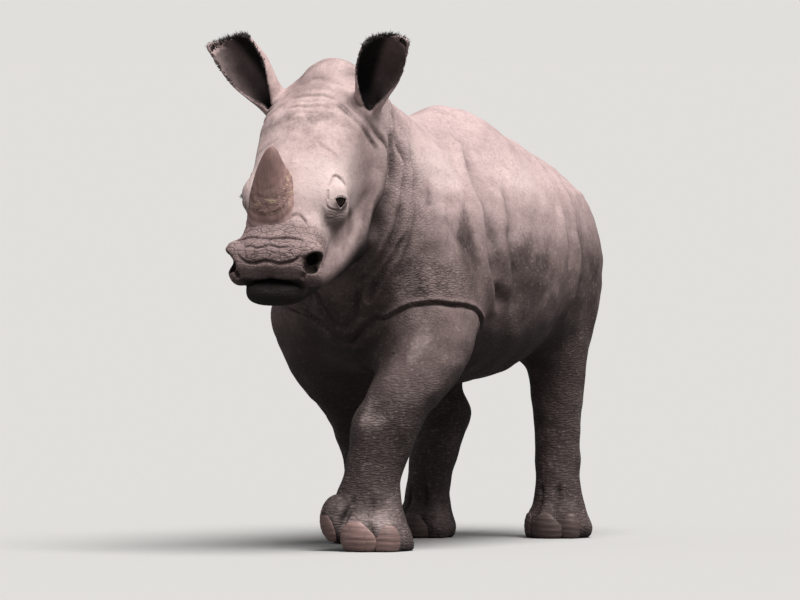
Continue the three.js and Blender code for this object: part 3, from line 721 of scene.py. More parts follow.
def creasing(points, normals, creases):
    """How far the creases move each point along its normal, and how much painted shade each point gets from
    them, more where they are deep. Across a fold the skin dips to a sharp bottom, unevenly deep, and beside it
    swells as a bell curve; both fade at its ends."""
    move = np.zeros(len(points))
    dark = np.zeros(len(points))
    for line, deep, wide, lip, run in creases:
        some, far, way, heading, along = round_line(points, line, 5 * wide * run)
        fade = rise_between(np.minimum(along, 1 - along), 0, CREASE_END)
        side = np.sign(np.einsum("ij,ij->i", way, np.cross(normals[some], heading)))
        aside = np.hypot(far, 0.0012) - 0.0012
        past = (run - 1) * rise_between(-side * np.sign(lip) * far, 0.0, 0.5 * wide)
        uneven = fade * np.clip(0.8 + 0.25 * ripples(points[some], 0.05, 31, 8), 0.35, 1.2)
        groove = uneven * np.exp(-1.2 * aside / (wide * (1 + past)))
        swell = fade * np.exp(-(((side * far - 2.2 * wide * np.sign(lip)) / (1.8 * wide)) ** 2))
        move[some] += np.abs(lip) * swell - deep * groove
        shade = uneven * np.exp(-1.2 * aside / (wide * (1 + 0.45 * past)))
        dark[some] = np.maximum(dark[some], shade * min(1.2 * deep / (wide + 0.004), 1))
    return move, dark


def ripples(points, size, seed, waves=20):
    """Smooth random unevenness of about unit height: a sum of waves about as long as size, in random directions."""
    rng = np.random.default_rng(seed)
    way = rng.normal(size=(waves, 3))
    way /= np.linalg.norm(way, axis=1, keepdims=True) * (size * rng.uniform(0.7, 1.5, (waves, 1)))
    return np.sin(points @ way.T * 2 * np.pi + rng.uniform(0, 2 * np.pi, waves)).sum(axis=1) / math.sqrt(waves)


def to_cell_edge(places, seed):
    """How far each place is from the edge of its cell, in cell widths. The cells belong to points that are thrown at
    random, one into each cube of a grid; the edge lies halfway between the two nearest points."""
    thrown = np.random.default_rng(seed).random((16, 16, 16, 3))
    corner = np.floor(places).astype(int)
    nearest = np.full((2, len(places)), np.inf)
    owner = np.zeros((2, len(places), 3))
    for step in np.ndindex(3, 3, 3):
        cube = corner + np.array(step) - 1
        middle = cube + thrown[tuple((cube % 16).T)]
        far = np.linalg.norm(places - middle, axis=1)
        first = far < nearest[0]
        second = ~first & (far < nearest[1])
        nearest[1] = np.where(first, nearest[0], np.where(second, far, nearest[1]))
        owner[1] = np.where(first[:, None], owner[0], np.where(second[:, None], middle, owner[1]))
        nearest[0] = np.where(first, far, nearest[0])
        owner[0] = np.where(first[:, None], middle, owner[0])
    apart = np.linalg.norm(owner[1] - owner[0], axis=1)
    return (nearest[1] ** 2 - nearest[0] ** 2) / (2 * apart)


def wrinkles(points, parts):
    """How deep in a net of wrinkles each point is: short upright cells in front of the horn, wide low ones across
    the rest of the nose, small ones on the neck and over the top of the leg."""
    places = head_places(points)
    bend = np.stack([ripples(points, 0.035, seed, 12) for seed in (5, 6, 7)], axis=1)
    worn = rise_between(ripples(points, 0.04, 8), -0.8, 1.2)
    skew = np.array([[0.92, 0.39, 0], [-0.39, 0.92, 0], [0, 0, 1.0]])
    pad = parts["muzzle"] * (1 - rise_between(places[:, 1], 0.380, 0.392))
    lip = 1 - 0.85 * rise_between(places[:, 1], 0.438, 0.448)
    nose = (parts["muzzle"] - pad) * lip * rise_between(places[:, 2], -0.012, 0.004)
    nets = (
        (nose, (places + 0.008 * bend) @ skew, (0.026, 0.0140, 0.0150), 11, 0.0017, 0.06),
        (pad, places + 0.0030 * bend, (0.008, 0.0220, 0.0150), 12, 0.0009, 0.10),
        (parts["neck"], points + 0.0040 * bend, (0.016, 0.016, 0.024), 13, 0.0010, 0.12),
        (parts["net"], points + 0.0030 * bend, (0.018, 0.018, 0.0085), 14, 0.0013, 0.12),
    )
    deep = np.zeros(len(points))
    for share, at, size, seed, most, thin in nets:
        some = share > 0.01
        edge = to_cell_edge(at[some] / size, seed)
        deep[some] += most * np.exp(-edge / thin) * share[some] * (0.3 + 0.7 * worn[some])
    return deep


def bud(points):
    """The low rough bud of the rear horn."""
    places = head_places(points)
    away = np.hypot((places[:, 0] - 0.004) / 0.022, (places[:, 1] - 0.215) / 0.020)
    return np.exp(-(away**2)) * (places[:, 2] > 0.02)


def rise_between(value, low, high):
    """Smoothly from 0 at low to 1 at high."""
    t = np.clip((value - low) / (high - low), 0, 1)
    return t * t * (3 - 2 * t)


def eye_folds(points):
    """Rings of folded skin round each eye: waves over the distance from it, strongest above and below."""
    back, up, out = eye_places(left_places(points))
    radius = np.hypot(back * 0.72, up)
    ring = np.cos(2 * np.pi * (radius - 0.0195 + 0.0015 * np.sin(back * 300)) / 0.0060)
    close = rise_between(radius, 0.020, 0.025) * (1 - rise_between(radius, 0.036, 0.056))
    below = rise_between(-up / np.maximum(radius, 1e-4), 0.1, 0.7)
    return 0.00014 * ring * close * below * (out > -0.03)


# Paler places of the hide and, with a strength below 0, darker ones, as ovals: place, radii, strength. Some are dusty
# and muddy hide; those noted below are wholly or partly painted light and painted shade.
# The right side has them too.
MARKS_AND_PAINTED_LIGHT = (
    ((0.165, -0.330, 0.800), (0.09, 0.13, 0.08), 0.8),  # the shoulder's top: partly dusty, partly painted light
    ((0.190, 0.020, 0.780), (0.10, 0.18, 0.09), 0.6),  # high on the flank
    ((0.170, -0.405, 0.655), (0.04, 0.05, 0.05), 0.3),  # the shoulder's front
    ((0.055, -0.680, 0.790), (0.07, 0.07, 0.06), 0.9),  # the middle of the face: painted highlight
    ((0.110, -0.610, 0.760), (0.04, 0.06, 0.07), 1.1),  # its side: painted light
    ((0.090, -0.670, 0.685), (0.04, 0.06, 0.06), 1.1),  # under the eye: painted light
    ((0.165, -0.430, 0.440), (0.030, 0.06, 0.070), 0.7),  # the arm: painted highlight
    ((0.078, -0.460, 0.290), (0.040, 0.05, 0.065), 0.6),  # the knee: partly dusty, partly painted highlight
    ((0.105, -0.500, 0.050), (0.110, 0.090, 0.060), 0.5),  # the forward foot: painted light
    ((0.208, -0.278, 0.615), (0.045, 0.045, 0.110), -0.7),  # behind the shoulder: partly muddy, partly painted shade
    ((0.171, -0.380, 0.742), (0.025, 0.030, 0.030), -0.9),  # a smear on the shoulder
    ((0.240, -0.060, 0.570), (0.080, 0.130, 0.090), -0.8),  # low on the flank
    ((0.215, -0.170, 0.640), (0.040, 0.025, 0.100), -0.4),  # behind the shoulder's fold
    ((0.220, 0.260, 0.530), (0.080, 0.100, 0.160), -0.9),  # the haunch
    ((0.130, 0.290, 0.380), (0.120, 0.140, 0.150), -1.0),  # the thigh: painted shade
    ((0.045, -0.615, 0.892), (0.055, 0.042, 0.036), -0.40),  # the forehead
    ((0.122, -0.515, 0.840), (0.025, 0.050, 0.090), -0.3),  # behind the face's edge: painted shade
    ((0.115, -0.495, 0.690), (0.040, 0.035, 0.110), -0.4),  # the cheek's rear
    ((0.000, -0.420, 0.450), (0.130, 0.080, 0.120), -1.0),  # the chest: painted shade
    ((0.120, -0.480, 0.560), (0.080, 0.060, 0.050), -0.6),  # under the throat: painted shade
)


def marks_and_painted_light(points):
    """How pale each point is, or below 0 how dark: bells over the ovals, whose edges wander. Partly dusty and muddy
    hide, partly painted light and painted shade.
    """
    moved = np.stack([ripples(points, 0.07, seed, 12) for seed in (41, 42, 43)], axis=1) * 0.012 + points
    moved[:, 0] = np.abs(moved[:, 0])
    tone = np.zeros(len(points))
    for place, radii, strength in MARKS_AND_PAINTED_LIGHT:
        tone += strength * np.exp(-(np.linalg.norm((moved - place) / radii, axis=1) ** 2.5))
    return np.clip(tone, -1.2, 1.2)


def body_parts(points):
    """Where on the animal each point is, as shares from 0 to 1 that the hide's finish reads."""
    places = head_places(points)
    y, z = points[:, 1], points[:, 2]
    head = rise_between(-y, 0.46, 0.53) * rise_between(z, 0.45, 0.51)
    muzzle = head * rise_between(places[:, 1], 0.325, 0.36) * rise_between(places[:, 2], -0.055, -0.025)
    legs = 1 - rise_between(z + 0.10 * rise_between(-y, 0.1, 0.4), 0.36, 0.56)
    neck = rise_between(-y, 0.33, 0.44) * (1 - head) * rise_between(z, 0.42, 0.50)
    crown = head * rise_between(-places[:, 1], -0.03, 0.01) * (places[:, 2] > 0)
    middle = 1 - rise_between(np.abs(places[:, 0]), 0.062, 0.085)
    # Painted shade under the upper lip, on the chin and under the jaw.
    chin_shade = head * middle * rise_between(-places[:, 2], 0.002, 0.014) * rise_between(places[:, 1], 0.40, 0.44)
    chin_shade = np.maximum(chin_shade, head * rise_between(-places[:, 2], 0.03, 0.05) * rise_between(places[:, 1], 0.39, 0.43))
    chin_shade = np.maximum(chin_shade, head * rise_between(-places[:, 2], 0.10, 0.15))
    rump = rise_between(y - 0.5 * (z - 0.5), 0.18, 0.42) * (1 - rise_between(z, 0.60, 0.80))
    # Painted shade inside each ear, nearly black, a little less on its outer side.
    inner_ear_shade = np.zeros(len(points))
    ears = np.zeros(len(points))
    for ear in EARS.values():
        up, front, across = ear_frame(ear)
        moved = points - np.array(ear["root"])
        at = moved @ up / EAR["height"]
        wide, _, bow, _ = columns(EAR_FINE, at)
        radius = np.hypot(moved @ across, moved @ front - bow)
        ears = np.maximum(ears, rise_between(wide + 0.040 - radius, 0.0, 0.035) * rise_between(at, -0.30, -0.02))
        inside = (radius < wide - 0.0035) & (at > -0.05) & (radius < 0.06)
        outer = rise_between(ear["side"] * (moved @ across), -0.008, 0.012)
        inner_ear_shade = np.maximum(inner_ear_shade, inside * (1 - 0.32 * outer * rise_between(at, 0.0, 0.3)))
    aside = (np.abs(points) * [1, 0, 0] + points * [0, 1, 1] - (0.185, -0.385, 0.555)) / (0.090, 0.120, 0.055)
    net = np.exp(-(np.linalg.norm(aside, axis=1) ** 3)) * (1 - head)
    return {
        "net": net, "head": head, "muzzle": muzzle, "legs": legs, "neck": neck, "chin_shade": chin_shade, "rump": rump,
        "crown": crown, "ears": ears, "inner_ear_shade": inner_ear_shade, "tone": marks_and_painted_light(points),
    }


SKIN_BOX = (np.array([-0.30, -0.86, -0.02]), np.array([0.30, 0.62, 1.14]))
SKIN_FACES = 196000
CELL = 0.0030  # how wide the net's cells are
NOSE_BOX = ((-1.0, 0.33, -0.035), (1.0, 0.48, 0.08))  # places on the head
EYE_REACH = 0.042


def careful(points):
    """Which points lie on the nose or near an eye, where the skin's net is finest and is not thinned."""
    places = left_places(points)
    nose = np.all((places > NOSE_BOX[0]) & (places < NOSE_BOX[1]), axis=1)
    return nose | (np.linalg.norm(places - EYE["place"], axis=1) < EYE_REACH)


def thinned(piece, faces, whole):
    """The piece with fewer triangles, by Blender's Decimate, which takes most from where it is smooth and none from
    the points that stay whole."""
    group = piece.vertex_groups.new(name="thin")
    group.add(np.flatnonzero(~whole).tolist(), 1.0, "REPLACE")
    decimate = piece.modifiers.new("Thin", "DECIMATE")
    decimate.ratio = faces / (2 * len(piece.data.polygons))
    decimate.vertex_group = group.name
    decimate.vertex_group_factor = 1e-6
    decimate.use_collapse_triangulate = True
    made = bpy.data.meshes.new_from_object(piece.evaluated_get(bpy.context.evaluated_depsgraph_get()))
    piece.modifiers.clear()
    piece.vertex_groups.clear()
    old, piece.data = piece.data, made
    bpy.data.meshes.remove(old)


def finer_at(piece, chosen):
    """Halves the edges of a piece between its chosen points, and gives how many points it had."""
    shape = bmesh.new()
    shape.from_mesh(piece.data)
    number = len(shape.verts)
    edges = [edge for edge in shape.edges if chosen[edge.verts[0].index] and chosen[edge.verts[1].index]]
    bmesh.ops.subdivide_edges(shape, edges=edges, cuts=1, use_grid_fill=True)
    shape.to_mesh(piece.data)
    shape.free()
    return number


def painted_shade_share(points, normals):
    """How closed in each point is by the rest of the animal, or how far it faces down, from 0 to 1: where the
    hide is darkened as painted shade."""
    closed = np.zeros(len(points))
    for reach in (0.04, 0.09, 0.18):
        closed += np.clip(1 - hide_outside(points + normals * reach) / reach, 0, 1) / 3
    return np.maximum(rise_between(closed, 0.12, 0.65), 0.85 * rise_between(-normals[:, 2], -0.10, 0.75))


def dark_places(points, normals, creases, parts):
    """Painted shade: how dark each point is in creases and wrinkles, round the eyes and in the nostrils."""
    back, up, out = eye_places(left_places(points))
    lids = np.exp(-(np.maximum(np.hypot(back * 0.75, up + 0.004) - 0.0080, 0) / 0.0018)) * (out > 0)
    hollow = 1 - rise_between(nostril_outside(points), 0.0, 0.005)
    lines = np.minimum(wrinkles(points, parts) / 0.0022, 0.8)
    folds = creasing(points, normals, creases)[1]
    return np.max([folds, lines, 0.85 * lids, 1.2 * hollow], axis=0)


def points_and_normals(mesh):
    points = np.empty(len(mesh.vertices) * 3)
    normals = np.empty(len(mesh.vertices) * 3, np.float32)
    mesh.vertices.foreach_get("co", points)
    mesh.vertex_normals.foreach_get("vector", normals)
    return points.reshape(-1, 3) - SHIFT, normals.reshape(-1, 3).astype(float)


def note(mesh, name, values):
    """Gives each point of a mesh a number that its finish reads."""
    mesh.attributes.new(name, "FLOAT", "POINT").data.foreach_set("value", np.asarray(values, np.float32))


def skin():
    """The hide: a net over the forms, evened out and made finer at the nose and eyes, then moved along its normals by
    creases, wrinkles and unevenness. What its finish reads is worked out again once it is thinned."""
    points, quads = net(hide_outside, *SKIN_BOX, CELL, 3)
    points = settled(hide_outside, points, quads, 3)
    piece = new_mesh("skin", points, quads)
    number = finer_at(piece, careful(points))
    points, normals = points_and_normals(piece.data)
    points[number:] = onto(hide_outside, points[number:])
    creases = all_creases()
    parts = body_parts(points)
    move = creasing(points, normals, creases)[0] + eye_folds(points) - wrinkles(points, parts)
    calm = 1 - 0.7 * parts["head"]
    move += calm * (0.0022 * ripples(points, 0.11, 1) + 0.0009 * ripples(points, 0.045, 2))
    move += parts["crown"] * 0.0007 * ripples(points, 0.030, 9)
    move += bud(points) * (0.0035 + 0.0008 * ripples(points, 0.008, 4))
    points = points + normals * move[:, None]
    points[:, 2] = np.maximum(points[:, 2], 0)
    piece.data.vertices.foreach_set("co", (points + SHIFT).ravel())
    piece.data.update()
    if len(piece.data.polygons) * 2 > SKIN_FACES:
        thinned(piece, SKIN_FACES, careful(points))
    piece.data.polygons.foreach_set("use_smooth", np.full(len(piece.data.polygons), True))
    points, normals = points_and_normals(piece.data)
    parts = body_parts(points)
    # Painted shade where the hide is closed in or faces down, less of it on the ears, the neck and the top of the head.
    brow = parts["head"] * (1 - rise_between(head_places(points)[:, 1], 0.03, 0.12))
    painted_shade = painted_shade_share(points, normals) * (1 - parts.pop("ears")) * (1 - 0.4 * parts["neck"]) * (1 - 0.7 * brow)
    # The crease share is painted shade in creases and wrinkles, round the eyes and in the nostrils.
    shares = {"crease_shade": dark_places(points, normals, creases, parts), "painted_shade": painted_shade} | parts
    for name, share in shares.items():
        note(piece.data, name, share)
    flesh = ["head", "neck", "trunk", "lower_jaw", "tail", "ear_left", "ear_right"]
    flesh += [f"{part}_{foot}" for foot in FEET for part in ("leg", "shank", "foot")]
    kept(piece, "hide", *flesh)
    return piece


# ---- Finishes ----
class Value:
    """A shader socket that can be written in sums: each operator adds its Math node."""

    def __init__(self, finish, socket):
        self.finish = finish
        self.socket = socket

    def math(self, operation, *values):
        return self.finish.node("ShaderNodeMath", {"operation": operation}, dict(enumerate(values)))

    def __add__(self, other):
        return self.math("ADD", self, other)

    def __sub__(self, other):
        return self.math("SUBTRACT", self, other)

    def __rsub__(self, other):
        return self.math("SUBTRACT", other, self)

    def __mul__(self, other):
        return self.math("MULTIPLY", self, other)

    __radd__ = __add__
    __rmul__ = __mul__

    def size(self):
        return self.math("ABSOLUTE", self)

    def least(self, other):
        return self.math("MINIMUM", self, other)

    def most(self, other):
        return self.math("MAXIMUM", self, other)

    def span(self, low, high, to_low=0.0, to_high=1.0):
        """Smoothly from to_low where the value is low to to_high where it is high."""
        settings = {"interpolation_type": "SMOOTHSTEP", "clamp": True}
        return self.finish.node("ShaderNodeMapRange", settings, dict(enumerate((self, low, high, to_low, to_high))))


class Finish:
    """A material in the making: its node tree, and short ways to add nodes to it."""

    def __init__(self, name):
        self.material = bpy.data.materials.new(name)
        self.material.use_nodes = True
        self.nodes = self.material.node_tree.nodes
        self.links = self.material.node_tree.links
        self.shader = self.nodes["Principled BSDF"]
        self.place = self.node("ShaderNodeTexCoord", {}, {}, "Object")

    def node(self, kind, settings, values, output=0):
        """Adds a node: its settings first, then a value or a link for each socket, and gives one of its outputs."""
        made = self.nodes.new(kind)
        for name, setting in settings.items():
            setattr(made, name, setting)
        for key, value in values.items():
            if isinstance(value, Value):
                self.links.new(value.socket, made.inputs[key])
            else:
                made.inputs[key].default_value = value
        return Value(self, made.outputs[output])

    def attribute(self, name):
        return self.node("ShaderNodeAttribute", {"attribute_name": name}, {}, "Fac")

    def stretched(self, scale, place=None, turn=(0.0, 0.0, 0.0)):
        """The place, or another vector, with a scale for each axis."""
        return self.node("ShaderNodeMapping", {}, {"Vector": place or self.place, "Scale": scale, "Rotation": turn})

    def noise(self, scale, detail=3.0, rough=0.55, place=None):
        """Cloudy noise from 0 to 1, with about scale lumps to the metre."""
        values = {"Vector": place or self.place, "Scale": scale, "Detail": detail, "Roughness": rough}
        return self.node("ShaderNodeTexNoise", {}, values, "Fac")

    def cells(self, scale, place, stretch=(1.0, 1.0, 1.0)):
        """How far it is to the edge of the nearest of many irregular cells, in cell widths."""
        values = {"Vector": self.stretched(stretch, place), "Scale": scale}
        return self.node("ShaderNodeTexVoronoi", {"feature": "DISTANCE_TO_EDGE"}, values, "Distance")

    def bent(self, amount, scale):
        """The place, moved about by cloudy noise."""
        colour = self.node("ShaderNodeTexNoise", {}, {"Vector": self.place, "Scale": scale, "Detail": 2.0}, "Color")
        away = self.node("ShaderNodeVectorMath", {"operation": "SUBTRACT"}, {0: colour, 1: (0.5, 0.5, 0.5)})
        more = self.node("ShaderNodeVectorMath", {"operation": "SCALE"}, {0: away, "Scale": amount})
        return self.node("ShaderNodeVectorMath", {"operation": "ADD"}, {0: self.place, 1: more})

    def mix(self, share, first, second, blend="MIX"):
        """From the first colour to the second."""
        settings = {"data_type": "RGBA", "blend_type": blend, "clamp_factor": True}
        colours = [value if isinstance(value, Value) else (*value, 1.0) for value in (first, second)]
        return self.node("ShaderNodeMix", settings, {0: share, 6: colours[0], 7: colours[1]}, 2)

    def set(self, **values):
        """Sets or links the shader's own sockets, named with spaces as underscores."""
        for key, value in values.items():
            socket = self.shader.inputs[key.replace("_", " ")]
            if isinstance(value, Value):
                self.links.new(value.socket, socket)
            else:
                socket.default_value = value

    def relief(self, height, strength=1.0, distance=0.001):
        """Bumps of a height in millimetres."""
        self.set(Normal=self.node("ShaderNodeBump", {}, {"Strength": strength, "Distance": distance, "Height": height}))


def hide_finish():
    """Dry folded hide: pinkish grey above and darker below, partly dusty and muddy hide and partly painted light
    and painted shade; paler on its face and shoulders, partly dusty hide and partly painted light; painted shade
    where it is creased or closed in. Nets of cells give its fine wrinkles, with painted shade in their lines: round
    ones on the neck, low ones over the leg's top and round the leg, wider ones on the nose."""
    look = bpy.context.scene.rhino_colours
    finish = Finish("hide")
    names = ("crease_shade", "painted_shade", "head", "muzzle", "legs", "neck", "chin_shade", "rump", "inner_ear_shade", "tone", "net")
    shares = map(finish.attribute, names)
    crease_shade, painted_shade, head, muzzle, legs, neck, chin_shade, rump, inner_ear_shade, tone, netted = shares
    height = finish.node("ShaderNodeSeparateXYZ", {}, {"Vector": finish.place}, "Z")
    bent = finish.bent(0.016, 22.0)
    mud_and_painted_shade = finish.noise(4.5, 8.0, 0.62, finish.bent(0.10, 5.0))
    streaks = finish.noise(9.0, 5.0, 0.60, finish.stretched((1.0, 1.0, 0.20)))
    dust_and_painted_light = finish.noise(11.0, 8.0, 0.68)
    specks = finish.noise(120.0, 4.0, 0.7)
    grain = finish.noise(170.0, 4.0, 0.75)
    veins = (finish.noise(24.0, 6.0, 0.62, bent) - 0.5).size().span(0.0, 0.020)

    pebbles = finish.cells(150.0, bent).span(0.0, 0.30)
    rings = finish.cells(92.0, bent, (0.38, 0.38, 1.9))
    folds = finish.cells(36.0, bent, (1.5, 1.5, 0.8))
    nose = finish.cells(75.0, bent, (0.55, 0.9, 1.3))
    small = finish.cells(190.0, bent, (0.7, 0.9, 1.1))
    low = finish.cells(80.0, bent, (0.7, 0.7, 2.2))

    patches = finish.noise(9.0, 6.0, 0.6, bent)
    fine = finish.noise(34.0, 7.0, 0.7, bent)
    # Paler along the top and darker down the sides: partly dusty and muddy hide, partly painted light from above and
    # painted shade lower down.
    upper = (height + mud_and_painted_shade * 0.24 + streaks * 0.14).span(0.76, 0.96)
    colour = finish.mix(upper, look.flank, look.top)
    colour = finish.mix(head, colour, look.face)
    colour = finish.mix(patches.span(0.42, 0.66) * (0.25 + head * 0.33), colour, look.muzzle)
    colour = finish.mix(fine.span(0.38, 0.68) * (0.35 + head * 0.15), colour, look.muzzle)
    # The legs darker: partly muddy hide, partly painted shade of the lower body.
    colour = finish.mix(legs * 0.9, colour, look.leg)
    dirt = mud_and_painted_shade * 0.7 + patches * 0.5 + fine * 0.6 + streaks * 0.5
    # Darker patches: muddy hide, partly painted shade where the ovals are dark, and darker over the rump.
    colour = finish.mix((rump * 0.6).most((dirt - tone).span(1.30, 1.95)), colour, look.mud_and_painted_shade)
    # Paler patches: dusty hide, partly painted light where the ovals are pale.
    colour = finish.mix((fine * 0.5 + mud_and_painted_shade * 0.6 + tone).span(0.75, 1.45) * 0.85, colour, look.dust_and_painted_light)
    colour = finish.mix(muzzle * 0.8, colour, look.muzzle)
    colour = finish.mix(dust_and_painted_light.span(0.50, 0.74) * (0.16 + upper * 0.20), colour, look.dust_and_painted_light)
    colour = finish.mix(specks.span(0.54, 0.68) * (0.20 + tone.span(0.1, 1.0) * 0.25), colour, look.dust_and_painted_light)
    grained = grain.span(0.45, 0.72) * (0.45 - head * 0.20) + (1 - veins) * 0.20
    colour = finish.mix(grained, colour, (0.45, 0.42, 0.41), "MULTIPLY")
    # Painted shade where the hide is closed in or faces down.
    colour = finish.mix(painted_shade * 0.9, colour, look.shade)
    # Painted shade inside the ears.
    colour = finish.mix(inner_ear_shade, colour, look.hollow)
    # Painted shade under the upper lip and under the jaw.
    colour = finish.mix(chin_shade * 0.95, colour, look.hollow)
    # Painted shade in the lines of the wrinkle nets and at the bottom of creases and folds.
    netting = netted.most(neck * 0.35)
    thin = (1 - rings.span(0.0, 0.16)) * legs * patches.span(0.3, 0.6, 0.12, 0.40) + (1 - pebbles) * neck * 0.10
    thin = thin + (1 - low.span(0.0, 0.14)) * netting * 0.4
    thin = thin + (1 - nose.span(0.0, 0.06)) * muzzle * 0.45
    colour = finish.mix((thin + crease_shade * 0.85).least(0.95), colour, look.crease_shade)
    finish.set(Base_Color=colour, Roughness=0.75, Specular_IOR_Level=0.25)

    rough = finish.noise(60.0, 5.0, 0.65) * (0.8 + head * 0.5) + finish.noise(380.0, 3.0, 0.6) * 0.14
    relief = rough + pebbles * (neck * 0.4 + 0.08) + rings.span(0.0, 0.22) * legs * 0.8
    relief = relief + nose.span(0.0, 0.12) * muzzle * 0.8 + small.span(0.0, 0.2) * muzzle * 0.15
    relief = relief + low.span(0.0, 0.25) * netting * 0.8 + grain * 0.25
    relief = relief + folds.span(0.0, 0.14) * (1 - head) * (1 - legs) * 0.15
    finish.relief(relief)
    return finish.material


def horn_finish():
    """Dull brown horn: fibres along it, and pale flakes where it is worn."""
    look = bpy.context.scene.rhino_colours
    finish = Finish("horn")
    along = finish.attribute("along")
    fibres = finish.noise(26.0, 5.0, 0.6, finish.stretched((7.0, 7.0, 1.0), turn=(math.radians(25), 0, 0)))
    clouds = finish.noise(28.0, 4.0, 0.6)
    flakes = finish.noise(60.0, 6.0, 0.78, finish.stretched((0.7, 1.0, 1.7)))
    colour = finish.mix(fibres.span(0.25, 0.75) * 0.5 + clouds.span(0.3, 0.7) * 0.5, look.horn_dark, look.horn)
    colour = finish.mix(along.span(0.30, 0.90) * 0.75, colour, look.horn_dark)
    worn = along.span(0.20, 0.34) * along.span(0.44, 0.62, 1.0, 0.0) * clouds.span(0.32, 0.50)
    # Painted shade in the cracks round the worn flakes, in the crease colour.
    colour = finish.mix((1 - flakes.span(0.38, 0.48)) * worn * 0.75, colour, look.crease_shade)
    colour = finish.mix(flakes.span(0.54, 0.61) * worn * 0.85, colour, look.horn_flake)
    colour = finish.mix(along.span(0.10, 0.24, 0.9, 0.0), colour, look.horn_base)
    finish.set(Base_Color=colour, Roughness=0.72, Specular_IOR_Level=0.3)
    finish.relief(fibres * 0.8 + flakes * (worn * 3.0 + 0.4))
    return finish.material


def nail_finish():
    """Worn horny nails: pinkish brown with growth lines and darker worn specks."""
    look = bpy.context.scene.rhino_colours
    finish = Finish("nail")
    growth = finish.noise(14.0, 3.0, 0.5, finish.stretched((1.0, 1.0, 12.0)))
    wear = finish.noise(70.0, 4.0, 0.65)
    # The fore left foot's nails paler, partly cleaner nail and partly painted light; the other nails darker, partly
    # muddy and partly painted shade.
    clean = finish.attribute("clean")
    colour = finish.mix(growth.span(0.35, 0.65) * (0.1 + clean * 0.3) + clean * 0.6, look.nail_dark, look.nail)
    colour = finish.mix(wear.span(0.55, 0.7) * 0.4, colour, look.leg)
    finish.set(Base_Color=colour, Roughness=0.6)
    finish.relief(growth * 0.8 + wear * 0.4)
    return finish.material


def eye_finish():
    """A wet, nearly black eye: a brown iris round a wide pupil, under a clear coat."""
    look = bpy.context.scene.rhino_colours
    finish = Finish("eye")
    iris = finish.attribute("iris")
    colour = finish.mix(iris, (0.004, 0.003, 0.003), look.iris)
    finish.set(Base_Color=colour, Roughness=0.30, Specular_IOR_Level=0.2, Coat_Weight=0.3, Coat_Roughness=0.05)
    return finish.material


def hair_finish():
    finish = Finish("hair")
    look = bpy.context.scene.rhino_colours
    shade = finish.noise(300.0, 2.0)
    finish.set(Base_Color=finish.mix(shade, look.hair, tuple(c * 2.2 for c in look.hair)), Roughness=0.55)
    return finish.material


# ---- Smaller pieces ----
def ringed(rings, start, end):
    """Points and faces of a closed body over rings that are each closed on themselves, with a pole at each end."""
    count, across = rings.shape[:2]
    points = np.vstack([rings.reshape(-1, 3), start, end])
    i, k = np.meshgrid(np.arange(count - 1), np.arange(across), indexing="ij")
    a = (i * across + k).ravel()
    b = (i * across + (k + 1) % across).ravel()
    quads = np.stack([a, b, b + across, a + across], axis=1)
    k = np.arange(across)
    first = np.stack([np.full(across, count * across), (k + 1) % across, k], axis=1)
    last = (count - 1) * across
    second = np.stack([np.full(across, count * across + 1), last + k, last + (k + 1) % across], axis=1)
    faces = quads.tolist() + first.tolist() + second.tolist()
    return points, facing_out(points, faces)


def plated(front, back):
    """Points and faces of a closed plate between two grids of places, with walls round its edge."""
    rows, across = front.shape[:2]
    points = np.vstack([front.reshape(-1, 3), back.reshape(-1, 3)])
    i, k = np.meshgrid(np.arange(rows - 1), np.arange(across - 1), indexing="ij")
    a = (i * across + k).ravel()
    quad = np.stack([a, a + 1, a + across + 1, a + across], axis=1)
    behind = rows * across
    number = np.arange(behind).reshape(rows, across)
    rim = np.concatenate([number[0, :-1], number[:-1, -1], number[-1, :0:-1], number[:0:-1, 0]])
    after = np.roll(rim, -1)
    walls = np.stack([after, rim, rim + behind, after + behind], axis=1)
    faces = quad.tolist() + (quad[:, ::-1] + behind).tolist() + walls.tolist()
    return points, facing_out(points, faces)


def facing_out(points, faces):
    """The faces, all turned round if the body's volume comes out below nothing."""
    a, b, c = (points[[face[i] for face in faces]] for i in range(3))
    d = points[[face[-1] for face in faces]]
    middle = points.mean(axis=0)
    volume = np.einsum("ij,ij->i", a - middle, np.cross(b - middle, c - middle)).sum()
    volume += np.einsum("ij,ij->i", a - middle, np.cross(c - middle, d - middle)).sum()
    return faces if volume > 0 else [face[::-1] for face in faces]


def eyeball(side):
    """A ball whose cornea swells a little forwards, in rings round the way it looks. Its iris is a ring too."""
    middle = np.array(EYE["place"])
    around = np.linspace(0, 2 * np.pi, 48, endpoint=False)[None, :, None]
    back = np.linspace(0, np.pi, 34)[1:-1, None, None]
    radius = EYE["radius"] * (0.985 + 0.06 * np.exp(-((back / 0.55) ** 2)))
    ring = np.cos(around) * EYE_BACK + np.sin(around) * EYE_UP
    places = middle + radius * (np.cos(back) * EYE_OUT + np.sin(back) * ring)
    poles = [middle + EYE["radius"] * reach * EYE_OUT for reach in (1.045, -0.985)]
    mirror = np.array([side, 1, 1])
    rings = from_head(places.reshape(-1, 3) * mirror).reshape(places.shape)
    points, faces = ringed(rings, *(from_head(pole * mirror)[0] for pole in poles))
    angle = np.concatenate([np.repeat(back.ravel(), around.size), [0, np.pi]])
    iris = rise_between(angle, 0.30, 0.36) * (1 - rise_between(angle, 0.66, 0.72))
    return points, faces, iris


